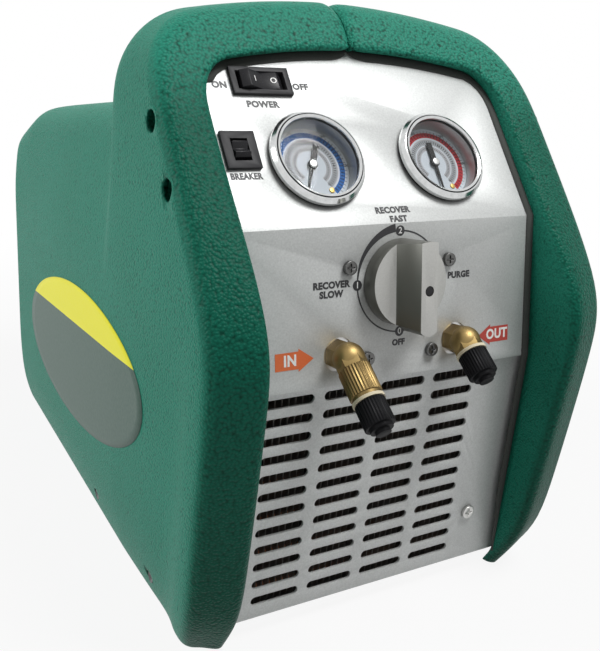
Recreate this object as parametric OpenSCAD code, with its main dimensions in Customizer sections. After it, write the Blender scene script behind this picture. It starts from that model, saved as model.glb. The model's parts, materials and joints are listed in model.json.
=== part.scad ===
// Portable refrigerant recovery machine: two moulded shell halves with a carry bar,
// a bent metal front panel with gauges, selector and ports, and the works behind it.
// Millimetres, +Z up, the front faces -Y, the origin lies on the floor under the middle.

/* [Shell] */
// Width over the moulded shell
body_w = 240; // [230:1:260]
// Height to the crown of the carry bar
body_h = 325; // [320:1:335]
// Y of the rear wall
rear_y = 203.5; // [190:0.5:230]
// Wall of the moulding
wall = 3; // [2:0.1:4]
// Y of the foremost edge of the hoop, before it is rounded
nose_y = -188.7; // [-195:0.1:-180]
// Drop of that edge below the crown of the carry bar
nose_drop = 140.4; // [130:0.1:150]
// Lean of the hoop's front below the edge, in degrees, top forward
hoop_undercut = 6.2; // [2:0.1:9]
// Softness of the hoop's front edge
nose_soft = 8; // [4:0.5:10]
// Lean of the lower front of the foot, in degrees from the vertical
foot_lean = 31; // [20:1:40]
// Y of the front of the foot on the floor
foot_y = -152.5; // [-162:0.5:-150]
// Height of the shell's lower rim above the floor
rim_z = 1; // [0.5:0.5:3]
// Y of the back face of the hoop
hoop_back = -43.5; // [-50:0.5:-35]
// Radius of the hoop's upper corners
hoop_corner = 40; // [34:1:50]
// Rise of the carry bar's crown
hoop_crown = 7; // [4:0.5:10]
// Round of the hoop's outer front edge
outer_round = 9; // [6:0.5:11]
// Round of the hoop's inner front edge
inner_round = 6; // [4:0.5:8]
// Round of the hoop's back edge
back_round = 10; // [6:0.5:12]
// How far the hoop's inner front edge stands ahead of the outer one
hoop_crest = 5.5; // [0:0.5:7]
// Depth of the soft groove behind the hoop's front edge
groove_depth = 2.5; // [0:0.1:3]
// How far the lower edge of the shell draws in
lower_draft = 8; // [4:0.5:9]
// Width of the opening in front of the panel
opening_w = 182; // [180:1:190]
// Height of the carry bar over the opening's upper edge
bar_front = 29.5; // [27:0.5:33]
// Rise of the opening's upper edge to the middle
opening_crown = 6; // [3:0.5:8]
// Radius of the opening's upper corners
opening_corner = 20; // [14:1:26]
// Drop of the body right behind the hoop below the crown
body_drop = 54; // [53:0.5:60]
// Slope of the body's top, in degrees, down to the rear
top_slope = 8.5; // [6:0.5:10]
// Length of the sloping top from the hoop to the rear bevel
top_run = 195; // [170:1:200]
// Slope of the rear bevel, in degrees
bevel_slope = 27; // [20:1:35]
// Round of the rear edges
rear_round = 18; // [12:1:24]
// Width of the rim round the rear opening
rear_rim = 6; // [4:0.5:9]
// Radius of the body's upper edges
body_corner = 20; // [16:1:28]
// Half length of the finger pocket behind the carry bar
pocket_half = 74; // [60:1:76]
// Depth of the pocket under the bar
pocket_depth = 25; // [20:0.5:26]
// Thickness of the carry bar behind its front edge
bar_h = 26; // [22:0.5:28]
// Round of the pocket's edges
pocket_round = 9; // [6:0.5:10]
// Height over which the lower edge draws in
draft_h = 45; // [30:1:60]
// Height above which the hoop's sides lean in
hoop_lean_from = 190; // [170:1:210]
// Lean of the hoop's sides, as a share of the width for each millimetre
hoop_lean = 0.0002; // [0:0.0001:0.001]
// Height above which the body's sides lean in
shoulder_from = 180; // [160:1:200]
// Lean of the body's sides, as a share of the width for each millimetre
shoulder_lean = 0.0009; // [0:0.0001:0.002]
// Rise of the body's top to the middle
body_crown = 2; // [0:0.5:4]
// Height over which the hoop's inner edge falls back
crest_fade = 60; // [40:1:80]
// Height over which the groove fades
groove_fade = 60; // [40:1:80]
// Softness of the edge above the foot
foot_soft = 1; // [0.5:0.1:3]
// Softness of the edge of the rear bevel
bevel_soft = 1.5; // [0.5:0.1:3]
// How far the step from the hoop to the body spreads along the side
step_spread = 9; // [4:0.5:12]
// Share of that step which the hoop's back round takes
back_share = 0.18; // [0.1:0.01:0.3]
// Depth of the seam between the halves
seam_round = 3; // [1:0.1:4]
// Reach of the seam's round at each side
seam_reach = 7; // [4:0.5:10]
// Radius of the screw wells
well_r = 5.5; // [5:0.1:6]
// Wall of the screw wells
well_wall = 1.5; // [1:0.1:3]
// Room round the screws in the wells
well_room = 1.5; // [1:0.1:2]
// Height of these screws' heads
well_head_h = 2.4; // [1.5:0.1:3]
// Depth of the wells' middle behind the panel's face
well_depth = 3.5; // [2:0.1:6]
// Distance of the lower well up the upper panel
well_low = 24.4; // [20:0.1:30]
// Distance between the wells
well_pitch = 36.1; // [30:0.1:40]
// Radius of the small screws' shanks
screw_r = 1.6; // [1.2:0.1:2]
// Length of shank beyond what a small screw holds
screw_bite = 2; // [1:0.1:4]
// Height of the screws along the base
base_screw_z = 16; // [14:0.5:20]
// Y of the front base screw
base_screw_front = -105; // [-120:1:-90]
// Distance between the base screws
base_screw_pitch = 95; // [80:1:110]
// Depth of the base screws' recesses
base_recess = 1.6; // [1:0.1:2]
// Radius of the base screws' heads
base_head_r = 3.6; // [3:0.1:4.5]
// Height of the base screws' heads
base_head_h = 1.2; // [0.8:0.1:1.5]

/* [Front panel] */
// Sheet of the panels
sheet = 1.5; // [1:0.1:2]
// Y of the lower panel's face
lower_y = -155.1; // [-158:0.1:-152]
// Height of the lower panel's bottom edge
panel_z = 11.7; // [11.6:0.1:14]
// Height from the step under the middle panel to the crown of the carry bar
face_h = 180; // [176:0.5:182]
// How far the middle panel stands in front of the lower one
step_out = 3.5; // [2:0.1:4]
// Lean of the middle panel, in degrees
mid_lean = 10.3; // [8:0.1:12]
// Length of the middle panel up to the crease
mid_len = 79.6; // [78:0.1:82]
// Lean of the upper panel, in degrees
top_lean = 40.5; // [38:0.1:43]
// Length of the upper panel
top_len = 106; // [103:0.5:108]
// Width hidden behind the shell at each side
panel_tuck = 8; // [6:0.5:9]
// Columns of slots
slot_cols = 4; // [3:1:4]
// Rows of slots
slot_rows = 12; // [8:1:12]
// Distance between columns
slot_pitch_x = 34.6; // [32:0.1:36]
// Distance between rows
slot_pitch_z = 10.5; // [9:0.1:10.6]
// Length of a slot
slot_len = 28.7; // [24:0.1:30]
// Width of a slot
slot_w = 5.2; // [4:0.1:6]
// How far the slots lie left of the middle
slot_shift = 10.9; // [0:0.1:14]
// How far the slots lie above the middle of the lower panel
slot_raise = 1.85; // [0:0.05:4]
// Depth of the flange at the panel's foot
panel_foot = 4; // [2:0.5:4.5]
// Depth of the panel's side flanges
flange_d = 12; // [10:0.5:14]
// Radius of the holes for the ports
port_hole_r = 9; // [8.5:0.1:10]
// Place of the upper screws round the selector
block_screw_top = [31, 59]; // [0:0.1:90]
// Place of the lower screws beside the ports
block_screw_low = [20.3, 11.7]; // [0:0.1:90]
// Radius of these screws' shanks
block_screw_r = 2; // [1.5:0.1:2.5]
// Length of these screws' shanks
block_screw_len = 10; // [8:0.5:14]
// Radius of these screws' heads
block_head_r = 3.6; // [3.2:0.1:4.5]
// Height of these screws' heads
block_head_h = 2.4; // [1.5:0.1:3]
// Place of the bright screw beside the slots
lower_screw = [67.4, 44.2]; // [0:0.1:90]
// Radius of the bright screw's head
lower_head_r = 4.2; // [3.5:0.1:5]
// Height of the bright screw's head
lower_head_h = 2.2; // [1.5:0.1:3]
// Length of the bright screw's shank
lower_screw_len = 6; // [5:0.5:8]
// Width of the cross slots in the screw heads
cross_w = 0.8; // [0.5:0.1:1]

/* [Gauges] */
// Distance of each gauge from the middle
gauge_x = 38.5; // [36:0.5:42]
// Distance up the upper panel from the crease
gauge_u = 36.4; // [34:0.1:40]
// Outer diameter of the bezel
bezel_d = 52; // [48:0.5:56]
// Height of the bezel above the panel
bezel_h = 6; // [5:0.1:8]
// Outer diameter of the case behind the panel
case_d = 46.6; // [44:0.1:47]
// Depth of the case behind the panel
case_depth = 20; // [16:0.5:22]
// Depth of the dial below the panel's face
dial_depth = 5; // [4:0.1:7]
// Length of a needle from its pivot to its tip
needle_len = 17; // [14:0.5:18]
// Radius of a needle's pivot
needle_pivot = 1; // [0.8:0.1:1.5]
// Length of the pivot in the case's floor
pivot_len = 4; // [3:0.1:6]
// Length of a needle's broad tail
needle_tail = 12; // [8:0.5:13]
// Half width of the tail
tail_half = 1.6; // [1:0.1:2]
// Half width of a needle's tip
needle_tip = 0.3; // [0.2:0.05:0.6]
// Thickness of a needle
needle_t = 0.6; // [0.4:0.1:1]
// Height of a needle above its dial
needle_lift = 0.8; // [0.5:0.1:1.2]
// Radius of a needle's hub
needle_hub_r = 2.6; // [2:0.1:3]
// Angle of the low gauge's needle at rest, clockwise from the top
low_zero = 205; // [180:1:230]
// Angle of the high gauge's needle at rest, clockwise from the top
high_zero = 180; // [180:1:230]
// Thickness of a dial
dial_t = 0.8; // [0.5:0.1:1.2]
// Radius of the boss that carries a dial
dial_boss_r = 6; // [4:0.5:9]
// Depth of a case's cup below its dial
cup_room = 3.5; // [3:0.1:5]
// Wall of a case's cup
cup_wall = 1.8; // [1.2:0.1:2.5]
// Length of a case's stem
gauge_stem_len = 8; // [6:0.5:12]
// Wall of that stem outside its tube
gauge_stem_wall = 1.5; // [1:0.1:2.5]
// Thickness of a lens
lens_t = 1.5; // [1:0.1:2]
// Depth of a lens's seat below the bezel's top
lens_in = 3; // [2.5:0.1:4]
// Width of the bezel's rolled edge
bezel_roll = 3; // [2:0.1:4]
// Fall of the bezel's face to both edges
bezel_fall = 0.6; // [0.3:0.1:1]

/* [Selector and ports] */
// Distance of the selector's middle up the middle panel
knob_u = 49.7; // [47:0.1:51]
// Diameter of the selector's disc
knob_d = 44.4; // [40:0.2:46]
// Height of the disc
knob_disc_h = 9.5; // [7:0.1:11]
// Height of the grip bar above the disc
grip_h = 15; // [12:0.5:18]
// Width of the grip bar at its foot
grip_foot = 19; // [16:0.5:22]
// Width of the grip bar at its face
grip_face = 10; // [8:0.5:12]
// Radius of the selector's stem
stem_r = 4; // [3:0.1:5]
// Distance of the ports from the middle
port_x = 36.8; // [35:0.1:38]
// Distance of the ports up the middle panel
port_u = 15.5; // [14:0.1:17]
// Radius of a port's pipe thread, the quarter-inch flare size
port_r = 5.55; // [5:0.05:6]
// Width of the ports' hexagons across the corners
port_hex = 16; // [14:0.2:17]
// Length of the elbow's leg out of the panel
elbow_out = 9; // [8:0.1:11]
// Bend of the elbows, in degrees
elbow_bend = 45; // [40:1:50]
// Length of the elbow's bent leg
elbow_leg = 6.5; // [6:0.1:8]
// Length of the knurled coupler
coupler_len = 17; // [14:0.5:20]
// Diameter of the knurled coupler
coupler_d = 17; // [15:0.2:18]
// Diameter of the caps
cap_d = 16; // [15:0.2:17]
// Length of the caps
cap_len = 15; // [13:0.5:18]
// Thickness of the sealing washers
washer_t = 1.6; // [1:0.1:2]
// Radius of the grip bar's rounded end
grip_tail_r = 6.5; // [5:0.1:8]
// Distance of that end's middle inside the disc's edge
grip_tail_in = 4; // [2:0.1:6]
// Radius of the plug in the grip bar's face
plug_r = 2.6; // [2:0.1:3.5]
// Distance of the plug below the selector's middle
plug_drop = 2; // [0:0.1:4]
// Depth of the plug's hole
plug_depth = 3; // [2:0.1:4]
// Length of the stem inside the knob
stem_in_knob = 12; // [8:0.5:14]
// Length of the stem behind the panel's face
stem_depth = 20; // [16:0.5:24]
// How much wider an elbow's ball is than its hexagons
ball_over = 0.4; // [0.2:0.1:1]
// Length of an elbow's thread in the valve block
tail_len = 10; // [8:0.5:14]
// Length of a spigot in its coupler or cap
spigot_len = 10; // [8:0.5:12]
// Number of ridges round the coupler and the caps
knurls = 32; // [24:1:40]
// Depth of the coupler's ridges
coupler_knurl = 0.5; // [0.3:0.1:0.8]
// Length of the coupler's smooth collar
coupler_collar = 2; // [1:0.1:3]
// Depth of the caps' ridges
cap_knurl = 0.4; // [0.2:0.1:0.8]
// Length of the caps' smooth end
cap_taper = 2; // [1:0.1:3]
// Radius of the nub on a cap's end
cap_nub_r = 4; // [3:0.1:5]
// Height of that nub
cap_nub_h = 2.5; // [1:0.1:3]
// Half width of the valve block
block_half = 52; // [48:0.5:54]
// Distance of the block's lower edge up the middle panel
block_low = 5; // [4:0.5:7]
// Distance of the block's upper edge up the middle panel
block_high = 72; // [68:0.5:74]
// Distance of the gauge tubes up the middle panel
gauge_tube_u = 62; // [58:0.5:66]
// Distance of the suction pipe from the middle
suction_x = 20; // [16:0.5:22]
// Distance of the suction pipe up the middle panel
suction_u = 30; // [26:0.5:34]
// Distance of the liquid pipe up the middle panel
liquid_u = 40; // [36:0.5:44]
// Distance of the pressure switch up the middle panel
pressure_u = 34; // [30:0.5:38]
// Depth of the sockets for pipes
socket_depth = 5; // [4:0.5:7]
// Radius of the pressure switch's can
switch_can_r = 9; // [7:0.5:11]
// Length of the pressure switch's can
switch_can_len = 22; // [18:0.5:26]
// Thickness of a blade tab
tab_t = 0.8; // [0.5:0.1:1]
// Width of a blade tab
tab_w = 6; // [4:0.1:7]
// Length of a blade tab
tab_len = 8; // [6:0.5:10]

/* [Switch and breaker] */
// Distance of the switch left of the middle
switch_x = 57.5; // [55:0.5:60]
// Distance of the switch up the upper panel
switch_u = 81; // [78:0.5:83]
// Length of the switch's frame
switch_w = 33; // [30:0.5:35]
// Height of the switch's frame
switch_h = 15.5; // [14:0.5:17]
// Half swing of the rocker, in degrees
rocker_half = 9; // [6:0.5:11]
// Distance of the breaker left of the middle
breaker_x = 79; // [77:0.5:81]
// Distance of the breaker up the upper panel
breaker_u = 42; // [40:0.5:44]
// Width of the breaker
breaker_w = 18; // [16:0.5:19]
// Height of the breaker
breaker_h = 20; // [18:0.5:22]
// Width of the breaker's rocker opening
breaker_slot_w = 9; // [7:0.1:11]
// Height of the breaker's rocker opening
breaker_slot_h = 12; // [10:0.1:14]
// Thickness of the flanges of switch, breaker and inlet
frame_t = 2; // [1.5:0.1:3]
// Width of the flange outside its cut-out
frame_lip = 1.5; // [1:0.1:2]
// Depth of switch and breaker behind the panel
control_depth = 15; // [12:0.5:18]
// Depth of a rocker's pin below the panel's face
rocker_pivot = 2; // [1:0.1:3]
// Radius of a rocker's pin
rocker_pin_r = 1.2; // [0.8:0.1:1.6]
// Wall left over a rocker's pin
pin_cover = 0.2; // [0.15:0.05:0.5]
// Gap at the ends of a rocker
rocker_gap = 1.1; // [0.8:0.1:1.5]
// Height of a rocker's ends above its pin
rocker_tip = 5.6; // [4:0.1:6]
// Length of the slope at a rocker's ends
rocker_slope = 4; // [2:0.1:4]
// Fall of that slope
rocker_fall = 2.2; // [1:0.1:3]
// Height of a rocker's middle above its pin
rocker_middle = 3.4; // [2.5:0.1:4]
// Height of a rocker's lower corners above its pin
rocker_side_z = 0.6; // [0:0.1:1]
// Depth of a rocker's keel below its pin
rocker_keel = 4.5; // [3:0.1:6]

/* [Rear panel and inlet] */
// Width of the rear panel hidden behind the rim at each side
rear_tuck = 1; // [0.5:0.5:2]
// Length of an air slot between its round ends
vent_len = 56; // [40:1:62]
// Rows of air slots
vent_rows = 9; // [5:1:9]
// Distance between rows of air slots
vent_pitch = 12; // [10:0.5:14]
// Gap between the two columns of air slots, with their round ends
vent_gap = 16; // [12:0.5:24]
// Height of the lowest air slot
vent_z = 68; // [60:0.5:74]
// Place of the inlet's middle, from behind
inlet_at = [52, 34]; // [0:0.5:90]
// Width of the inlet in its cut-out
inlet_w = 27; // [26:0.1:30]
// Height of the inlet in its cut-out
inlet_h = 20; // [19:0.1:22]
// Wall of the inlet
inlet_wall = 1.5; // [1:0.1:2]
// Width of the inlet's flange
inlet_flange_w = 50; // [48:0.5:54]
// Height of the inlet's flange
inlet_flange_h = 24; // [22:0.5:27]
// Depth of the inlet behind the panel
inlet_depth = 20; // [18:0.5:26]
// Depth of the inlet's socket
cavity_depth = 15; // [13:0.5:17]
// Distance of the flange's screw holes from its middle
inlet_hole_x = 20; // [18:0.5:21]
// Radius of the flange's screw holes
inlet_hole_r = 1.7; // [1.5:0.1:2]
// Distance between the inlet's pins
contact_pitch = 7; // [6.5:0.1:7.5]
// How far the middle pin lies above, and the others below, the middle
contact_rise = 2; // [1.5:0.1:2.5]
// Thickness of a pin
contact_t = 2; // [1.5:0.1:2.5]
// Width of a pin
contact_w = 4; // [3.5:0.1:5]
// Length of a pin
contact_len = 9; // [7:0.5:10]
// Distance of the lower rear screws from the panel's edge
rear_screw_in = 9; // [8.5:0.5:12]
// Distance of the rear screws from the floor and the panel's top
rear_screw_z = 18; // [16:0.5:22]
// Radius of the rear screws' heads
rear_head_r = 3.4; // [3:0.1:4]
// Height of the rear screws' heads
rear_head_h = 2; // [1.5:0.1:2.5]
// Length of the rear screws' shanks
rear_screw_len = 6; // [5:0.5:8]

/* [Works] */
// Thickness of the base tray's sheet
tray_t = 2; // [1.5:0.1:3]
// Height of the tray's floor above the ground
tray_z = 9.5; // [8:0.1:9.6]
// Height of the tray's side lips
tray_lip = 14; // [10:0.5:18]
// Gap between the tray and the narrowest part of the shell
tray_gap = 0.6; // [0.4:0.1:2]
// Distance of the tray's front edge behind the lower panel
tray_back = 6; // [5:0.5:9]
// Radius of a foot
foot_r = 10; // [8:0.5:12]
// How much a foot narrows to the floor
foot_taper = 1; // [0.5:0.1:2]
// Radius of a foot's stud
stud_r = 3; // [2:0.1:4]
// Distance of the feet from the tray's side
foot_in = 18; // [14:0.5:24]
// Distance of the front feet from the tray's front edge
foot_front = 20; // [16:0.5:30]
// Distance of the rear feet from the tray's rear edge
foot_rear = 30; // [24:0.5:40]
// Height of the motor's shaft above the middle between tray and step
shaft_raise = 4.75; // [3:0.05:7]
// Gap under the motor
motor_lift = 21.5; // [18:0.5:26]
// Room over the fan, below half the height between tray and step
fan_margin = 12.75; // [11:0.05:16]
// Length of the motor's can
motor_len = 104; // [90:1:110]
// Length of the motor's end bells
bell_len = 12; // [8:0.5:16]
// Number of ribs along the motor
motor_fins = 24; // [18:1:30]
// Height of a rib
motor_fin_h = 3; // [2:0.1:4]
// Thickness of a rib
motor_fin_t = 2; // [1.5:0.1:3]
// Gap between fan and motor
motor_gap = 12; // [10:0.5:16]
// Width of the motor's cradle
cradle_w = 64; // [56:0.5:72]
// Thickness of the cradle's floor
cradle_t = 4; // [3:0.1:6]
// Depth of the fan
fan_w = 14; // [12:0.5:16]
// Radius of the fan's hub
hub_r = 15; // [12:0.5:18]
// Pitch of a blade, in degrees
blade_turn = 32; // [25:1:40]
// Width of a blade
blade_w = 28; // [24:0.5:32]
// Thickness of a blade
blade_t = 1.6; // [1.2:0.1:2.5]
// Number of fan blades
fan_blades = 6; // [4:1:8]
// Radius of the motor's shaft
shaft_r = 5; // [4:0.1:6]
// Length of the shaft inside the crankcase
shaft_tail = 24; // [20:0.5:30]
// Gap between fins and shroud
shroud_gap = 1; // [0.2:0.1:1]
// Wall of the shroud
shroud_t = 2; // [1.5:0.1:3]
// How far the shroud reaches past the fins
shroud_lap = 7; // [4:0.5:9]
// Depth of the shroud's collar
collar_d = 18; // [14:0.5:20]
// Gap between blades and collar
fan_tip_gap = 2; // [1:0.1:3]
// Distance of the fan behind the shroud
fan_back = 5; // [4:0.5:8]
// Gap between motor and crankcase
case_gap = 2; // [1:0.1:4]
// Half width of the crankcase
case_half = 42; // [38:0.5:46]
// Length of the crankcase
case_len = 66; // [60:0.5:72]
// Height of the crankcase's top above the shaft
case_rise = 44; // [42:0.5:50]
// Height of the crankcase's foot
case_foot = 14; // [10:0.5:18]
// Half width of the cylinder
head_half = 27; // [24:0.5:30]
// Number of fins on the cylinder
head_fins = 6; // [4:1:7]
// Distance between the cylinder's fins
head_fin_pitch = 7; // [6:0.1:8]
// Thickness of the cylinder's fins
head_fin_t = 2.5; // [2:0.1:3]
// Height of the cylinder's cap
head_cap = 12; // [10:0.5:14]
// Radius of the run capacitor
capacitor_r = 19; // [15:0.5:22]
// Height of the run capacitor
capacitor_h = 82; // [70:1:90]
// Gap between the capacitor and the tray's lip
capacitor_room = 10; // [6:0.5:14]
// Width of the condenser's fins
core_w = 148; // [140:1:152]
// Depth of the condenser's fins
core_d = 30; // [24:0.5:32]
// Distance between fins
fin_pitch = 4; // [3.5:0.1:6]
// Thickness of a fin
fin_t = 0.6; // [0.4:0.1:1]
// Rows of condenser tube
tube_rows = 6; // [4:1:6]
// Outer radius of the condenser's tubes
tube_r = 4.2; // [3:0.1:4.8]
// Gap between the lower panel and the fins
core_gap = 3; // [2.7:0.1:6]
// Distance of the tube columns from the core's middle
tube_gap = 7; // [5.5:0.1:8]
// Distance between rows of tube
tube_pitch = 21; // [18:0.1:24]
// Length of tube outside the fins
tube_out = 5; // [4:0.5:8]
// Radius of the copper pipes
pipe_r = 3.2; // [2.5:0.1:4]
// Radius of a bend's middle line
bend_r = 9; // [8:0.1:10]
// Wall of an elbow fitting outside its pipe
fitting_t = 0.6; // [0.4:0.1:1]
// Length of pipe inside a fitting
fitting_lap = 2; // [1:0.1:3]
// Straight length of a pipe before its first bend
tube_lead = 8; // [7:0.1:10]
// Distance of the side pipes from the tube ends
pipe_out = 26; // [22:0.5:28]
// Distance behind the motor's front where the discharge pipe turns
pipe_run = 30; // [24:0.5:36]
// Depth of the valve block behind the panel
block_d = 32; // [28:0.5:34]

/* [Fits] */
// Gap between pieces of one body that lie against each other
seat = 0.1; // [0.05:0.05:0.3]
// Gap between pieces that move past each other
run = 0.35; // [0.3:0.05:0.5]
// Radial play of a shaft or pin in its bore
play = 0.05; // [0.02:0.01:0.08]

/* [Hidden] */
$fn = 48;
green = [0.02, 0.36, 0.25];
silver = [0.78, 0.79, 0.78];
black = [0.08, 0.08, 0.09];
dark = [0.2, 0.2, 0.2];
brass = [0.72, 0.55, 0.25];
copper = [0.72, 0.42, 0.28];
steel = [0.62, 0.63, 0.65];
cast = [0.52, 0.54, 0.57];
zinc = [0.75, 0.75, 0.76];

// Heights and widths that follow from the sizes above
half_w = body_w / 2;
nose_z = body_h - nose_drop;
opening_h = body_h - bar_front;
body_top = body_h - body_drop;
step_z = body_h - face_h;
tray_top = tray_z + tray_t;
works_h = step_z - tray_top;
shaft_z = tray_top + works_h / 2 + shaft_raise;
motor_r = shaft_z - tray_top - motor_lift;
fan_r = works_h / 2 - fan_margin;
tubes_fit = min(tube_rows, floor(works_h / tube_pitch));
slot_z = (panel_z + step_z) / 2 + slot_raise;
rows_fit = min(slot_rows, floor((step_z - panel_z - slot_w) / slot_pitch_z));
open_half = opening_w / 2;
panel_half = open_half + panel_tuck;

// Faces of the three panels: each leans back about a level line
mid_y = lower_y - step_out;
crease_y = mid_y + mid_len * sin(mid_lean);
crease_z = step_z + mid_len * cos(mid_lean);
function panel_y(z) =
    z < step_z ? mid_y
    : z < crease_z ? mid_y + (z - step_z) * tan(mid_lean)
    : crease_y + (z - crease_z) * tan(top_lean);
module on_lower() {
    translate([0, lower_y, 0]) rotate([90, 0, 0]) children();
}
module on_mid(x, u) {
    translate([0, mid_y, step_z]) rotate([90 - mid_lean, 0, 0]) translate([x, u, 0]) children();
}
module on_top(x, u) {
    translate([0, crease_y, crease_z]) rotate([90 - top_lean, 0, 0]) translate([x, u, 0]) children();
}
function mid_point(x, u, out) = [
    x,
    mid_y + u * sin(mid_lean) - out * cos(mid_lean),
    step_z + u * cos(mid_lean) + out * sin(mid_lean)
];
function top_point(x, u, out) = [
    x,
    crease_y + u * sin(top_lean) - out * cos(top_lean),
    crease_z + u * cos(top_lean) + out * sin(top_lean)
];

// The shell half is one sheet. Rails run from the floor up the side, round the corner and along
// the top to the middle, and lie one behind the other from the panel's edge to the rear rim.
function soft_max(a, b, k) = (a + b) / 2 + sqrt(pow((a - b) / 2, 2) + k * k);
function mix(a, b, k) = a + (b - a) * k;
function ease(k) = let (c = min(1, max(0, k))) c * c * (3 - 2 * c);
function front_y(z) =
    let (below = nose_y + (nose_z - z) * tan(hoop_undercut))
    let (above = nose_y + (z - nose_z) * tan(top_lean))
    let (foot = foot_y - z * tan(foot_lean))
    soft_max(soft_max(below, above, nose_soft), foot, foot_soft);

// A rail's outline from the front: leg (s 0 to 1), corner (1 to 2) and top (2 to 3)
function outline(s, w, h, r, z0, crown) =
    s <= 1 ? [-w, mix(z0, h - r, s)]
    : s <= 2 ? [-w + r * (1 - cos(90 * (s - 1))), h - r * (1 - sin(90 * (s - 1)))]
    : [-(w - r) * (3 - s), h + crown * (1 - pow(3 - s, 2))];
function drawn_in(p, lean_from, lean) =
    let (low = max(0, 1 - p[1] / draft_h))
    let (high = max(0, p[1] - lean_from))
    [p[0] * (1 - lower_draft / half_w * low * low - lean * high), p[1]];
hoop_h = body_h - hoop_crown;
function hoop_rail(s, inset) =
    drawn_in(outline(s, half_w - inset, hoop_h - inset, hoop_corner - inset, rim_z, hoop_crown),
        hoop_lean_from, hoop_lean);
function inner_rail(s, out) =
    outline(s, open_half + out, opening_h + out, opening_corner + out, rim_z, opening_crown);
function body_rail(s, top, inset) =
    drawn_in(outline(s, half_w - inset, top - inset, body_corner, rim_z, body_crown),
        shoulder_from, shoulder_lean);
function with_y(p, y) = [p[0], y, p[1]];
function from_front(p, back) = with_y(p, front_y(p[1]) + back);
function crest(z) = hoop_crest * ease(0.5 + (crease_z - z) / crest_fade);

// Height of the body's top along its length
bevel_y = hoop_back + top_run;
function top_at(y) =
    let (slope = body_top - (y - hoop_back) * tan(top_slope))
    let (bevel = body_top - top_run * tan(top_slope) - (y - bevel_y) * tan(bevel_slope))
    -soft_max(-slope, -bevel, bevel_soft);

// Side view of the finger pocket behind the bar, as [Y, Z], from the bar's back to the floor
pocket_front = hoop_back - pocket_depth;
bar_under = body_h - bar_h;
pocket_chord = 0.3 * pocket_round;
pocket = [
    [hoop_back, bar_under + pocket_round], [hoop_back - pocket_chord, bar_under + pocket_chord],
    [hoop_back - pocket_round, bar_under], [pocket_front + pocket_round, bar_under],
    [pocket_front + pocket_chord, bar_under - pocket_chord], [pocket_front, bar_under - pocket_round],
    [pocket_front, body_top + pocket_round], [pocket_front + pocket_chord, body_top + pocket_chord],
    [pocket_front + pocket_round, body_top + seat]
];
pocket_rows = len(pocket);
hoop_end = hoop_back - back_round;
function step_rail(s, k, y) = with_y(mix(hoop_rail(s, 0), body_rail(s, body_top, 0), k), y);
function pocket_rail(s, i) =
    let (t = (i + 1) / (pocket_rows + 1))
    let (spread = step_spread * (1 - ease((s - 0.9) / 0.7)))
    let (closed = step_rail(s, mix(back_share, 0.95, t), hoop_back + spread * t))
    let (open = [closed[0], pocket[i][0], pocket[i][1]])
    mix(closed, open, ease((pocket_half + closed[0]) / 7));
function side_rail(s, t) =
    let (p = hoop_rail(s, 0))
    let (along = t < 0.3 ? ease((t - 0.1) / 0.12) : 1 - t)
    let (groove = groove_depth * along * ease((hoop_lean_from - p[1]) / groove_fade))
    with_y([p[0] + groove, p[1]], mix(front_y(p[1]) + outer_round, hoop_end, t));
function rear_rail(s, a) =
    let (inset = rear_round * (1 - cos(a)))
    let (y = rear_y - rear_round * (1 - sin(a)))
    with_y(body_rail(s, top_at(rear_y - rear_round), inset), y);

round_steps = [0, 30, 60, 90];
side_steps = [0.12, 0.24, 0.5, 0.8, 1];
body_steps = [0.08, 0.3, 0.6, 0.83, 1];
bevel_steps = [0.12, 0.5, 0.9];
bevel_run = rear_y - rear_round - bevel_y;
function sheet_row(s) = concat(
    [let (p = inner_rail(s, 0))
        with_y(p, max(panel_y(p[1]) - seat, front_y(p[1]) - crest(p[1]) + inner_round + 1))],
    [for (a = round_steps)
        let (p = inner_rail(s, inner_round * (1 - cos(a))))
        from_front(p, inner_round * (1 - sin(a)) - crest(p[1]))],
    [for (a = round_steps)
        from_front(hoop_rail(s, outer_round * (1 - sin(a))), outer_round * (1 - cos(a)))],
    [for (t = side_steps) side_rail(s, t)],
    [for (a = [30, 60, 90])
        step_rail(s, back_share * (1 - cos(a)), hoop_end + back_round * sin(a))],
    [for (i = [0:pocket_rows - 1]) pocket_rail(s, i)],
    [for (t = body_steps) let (y = mix(hoop_back, bevel_y, t)) with_y(body_rail(s, top_at(y), 0), y)],
    [for (t = bevel_steps) let (y = bevel_y + bevel_run * t) with_y(body_rail(s, top_at(y), 0), y)],
    [for (a = round_steps) rear_rail(s, a)],
    [with_y(body_rail(s, top_at(rear_y - rear_round), rear_round + rear_rim), rear_y)]
);
leg_h = opening_h - opening_corner - rim_z;
step_s = (step_z - rim_z) / leg_h;
crease_s = (crease_z - rim_z) / leg_h;
leg_steps = concat(
    [for (k = [0, 0.1, 0.24, 0.48, 0.74]) k * step_s],
    [for (k = [0, 0.2, 0.42, 0.64]) mix(step_s, crease_s, k)],
    [crease_s, (1 + crease_s) / 2]
);
corner_steps = [1, 1.2, 1.4, 1.6, 1.8];
top_steps = [2, 2.03, 2.06, 2.1, 2.5, 2.9, 2.96, 3];
columns = concat(leg_steps, corner_steps, top_steps);
function unit(v) = v / max(0.0001, norm(v));
function clamp(i, n) = min(n - 1, max(0, i));
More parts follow.
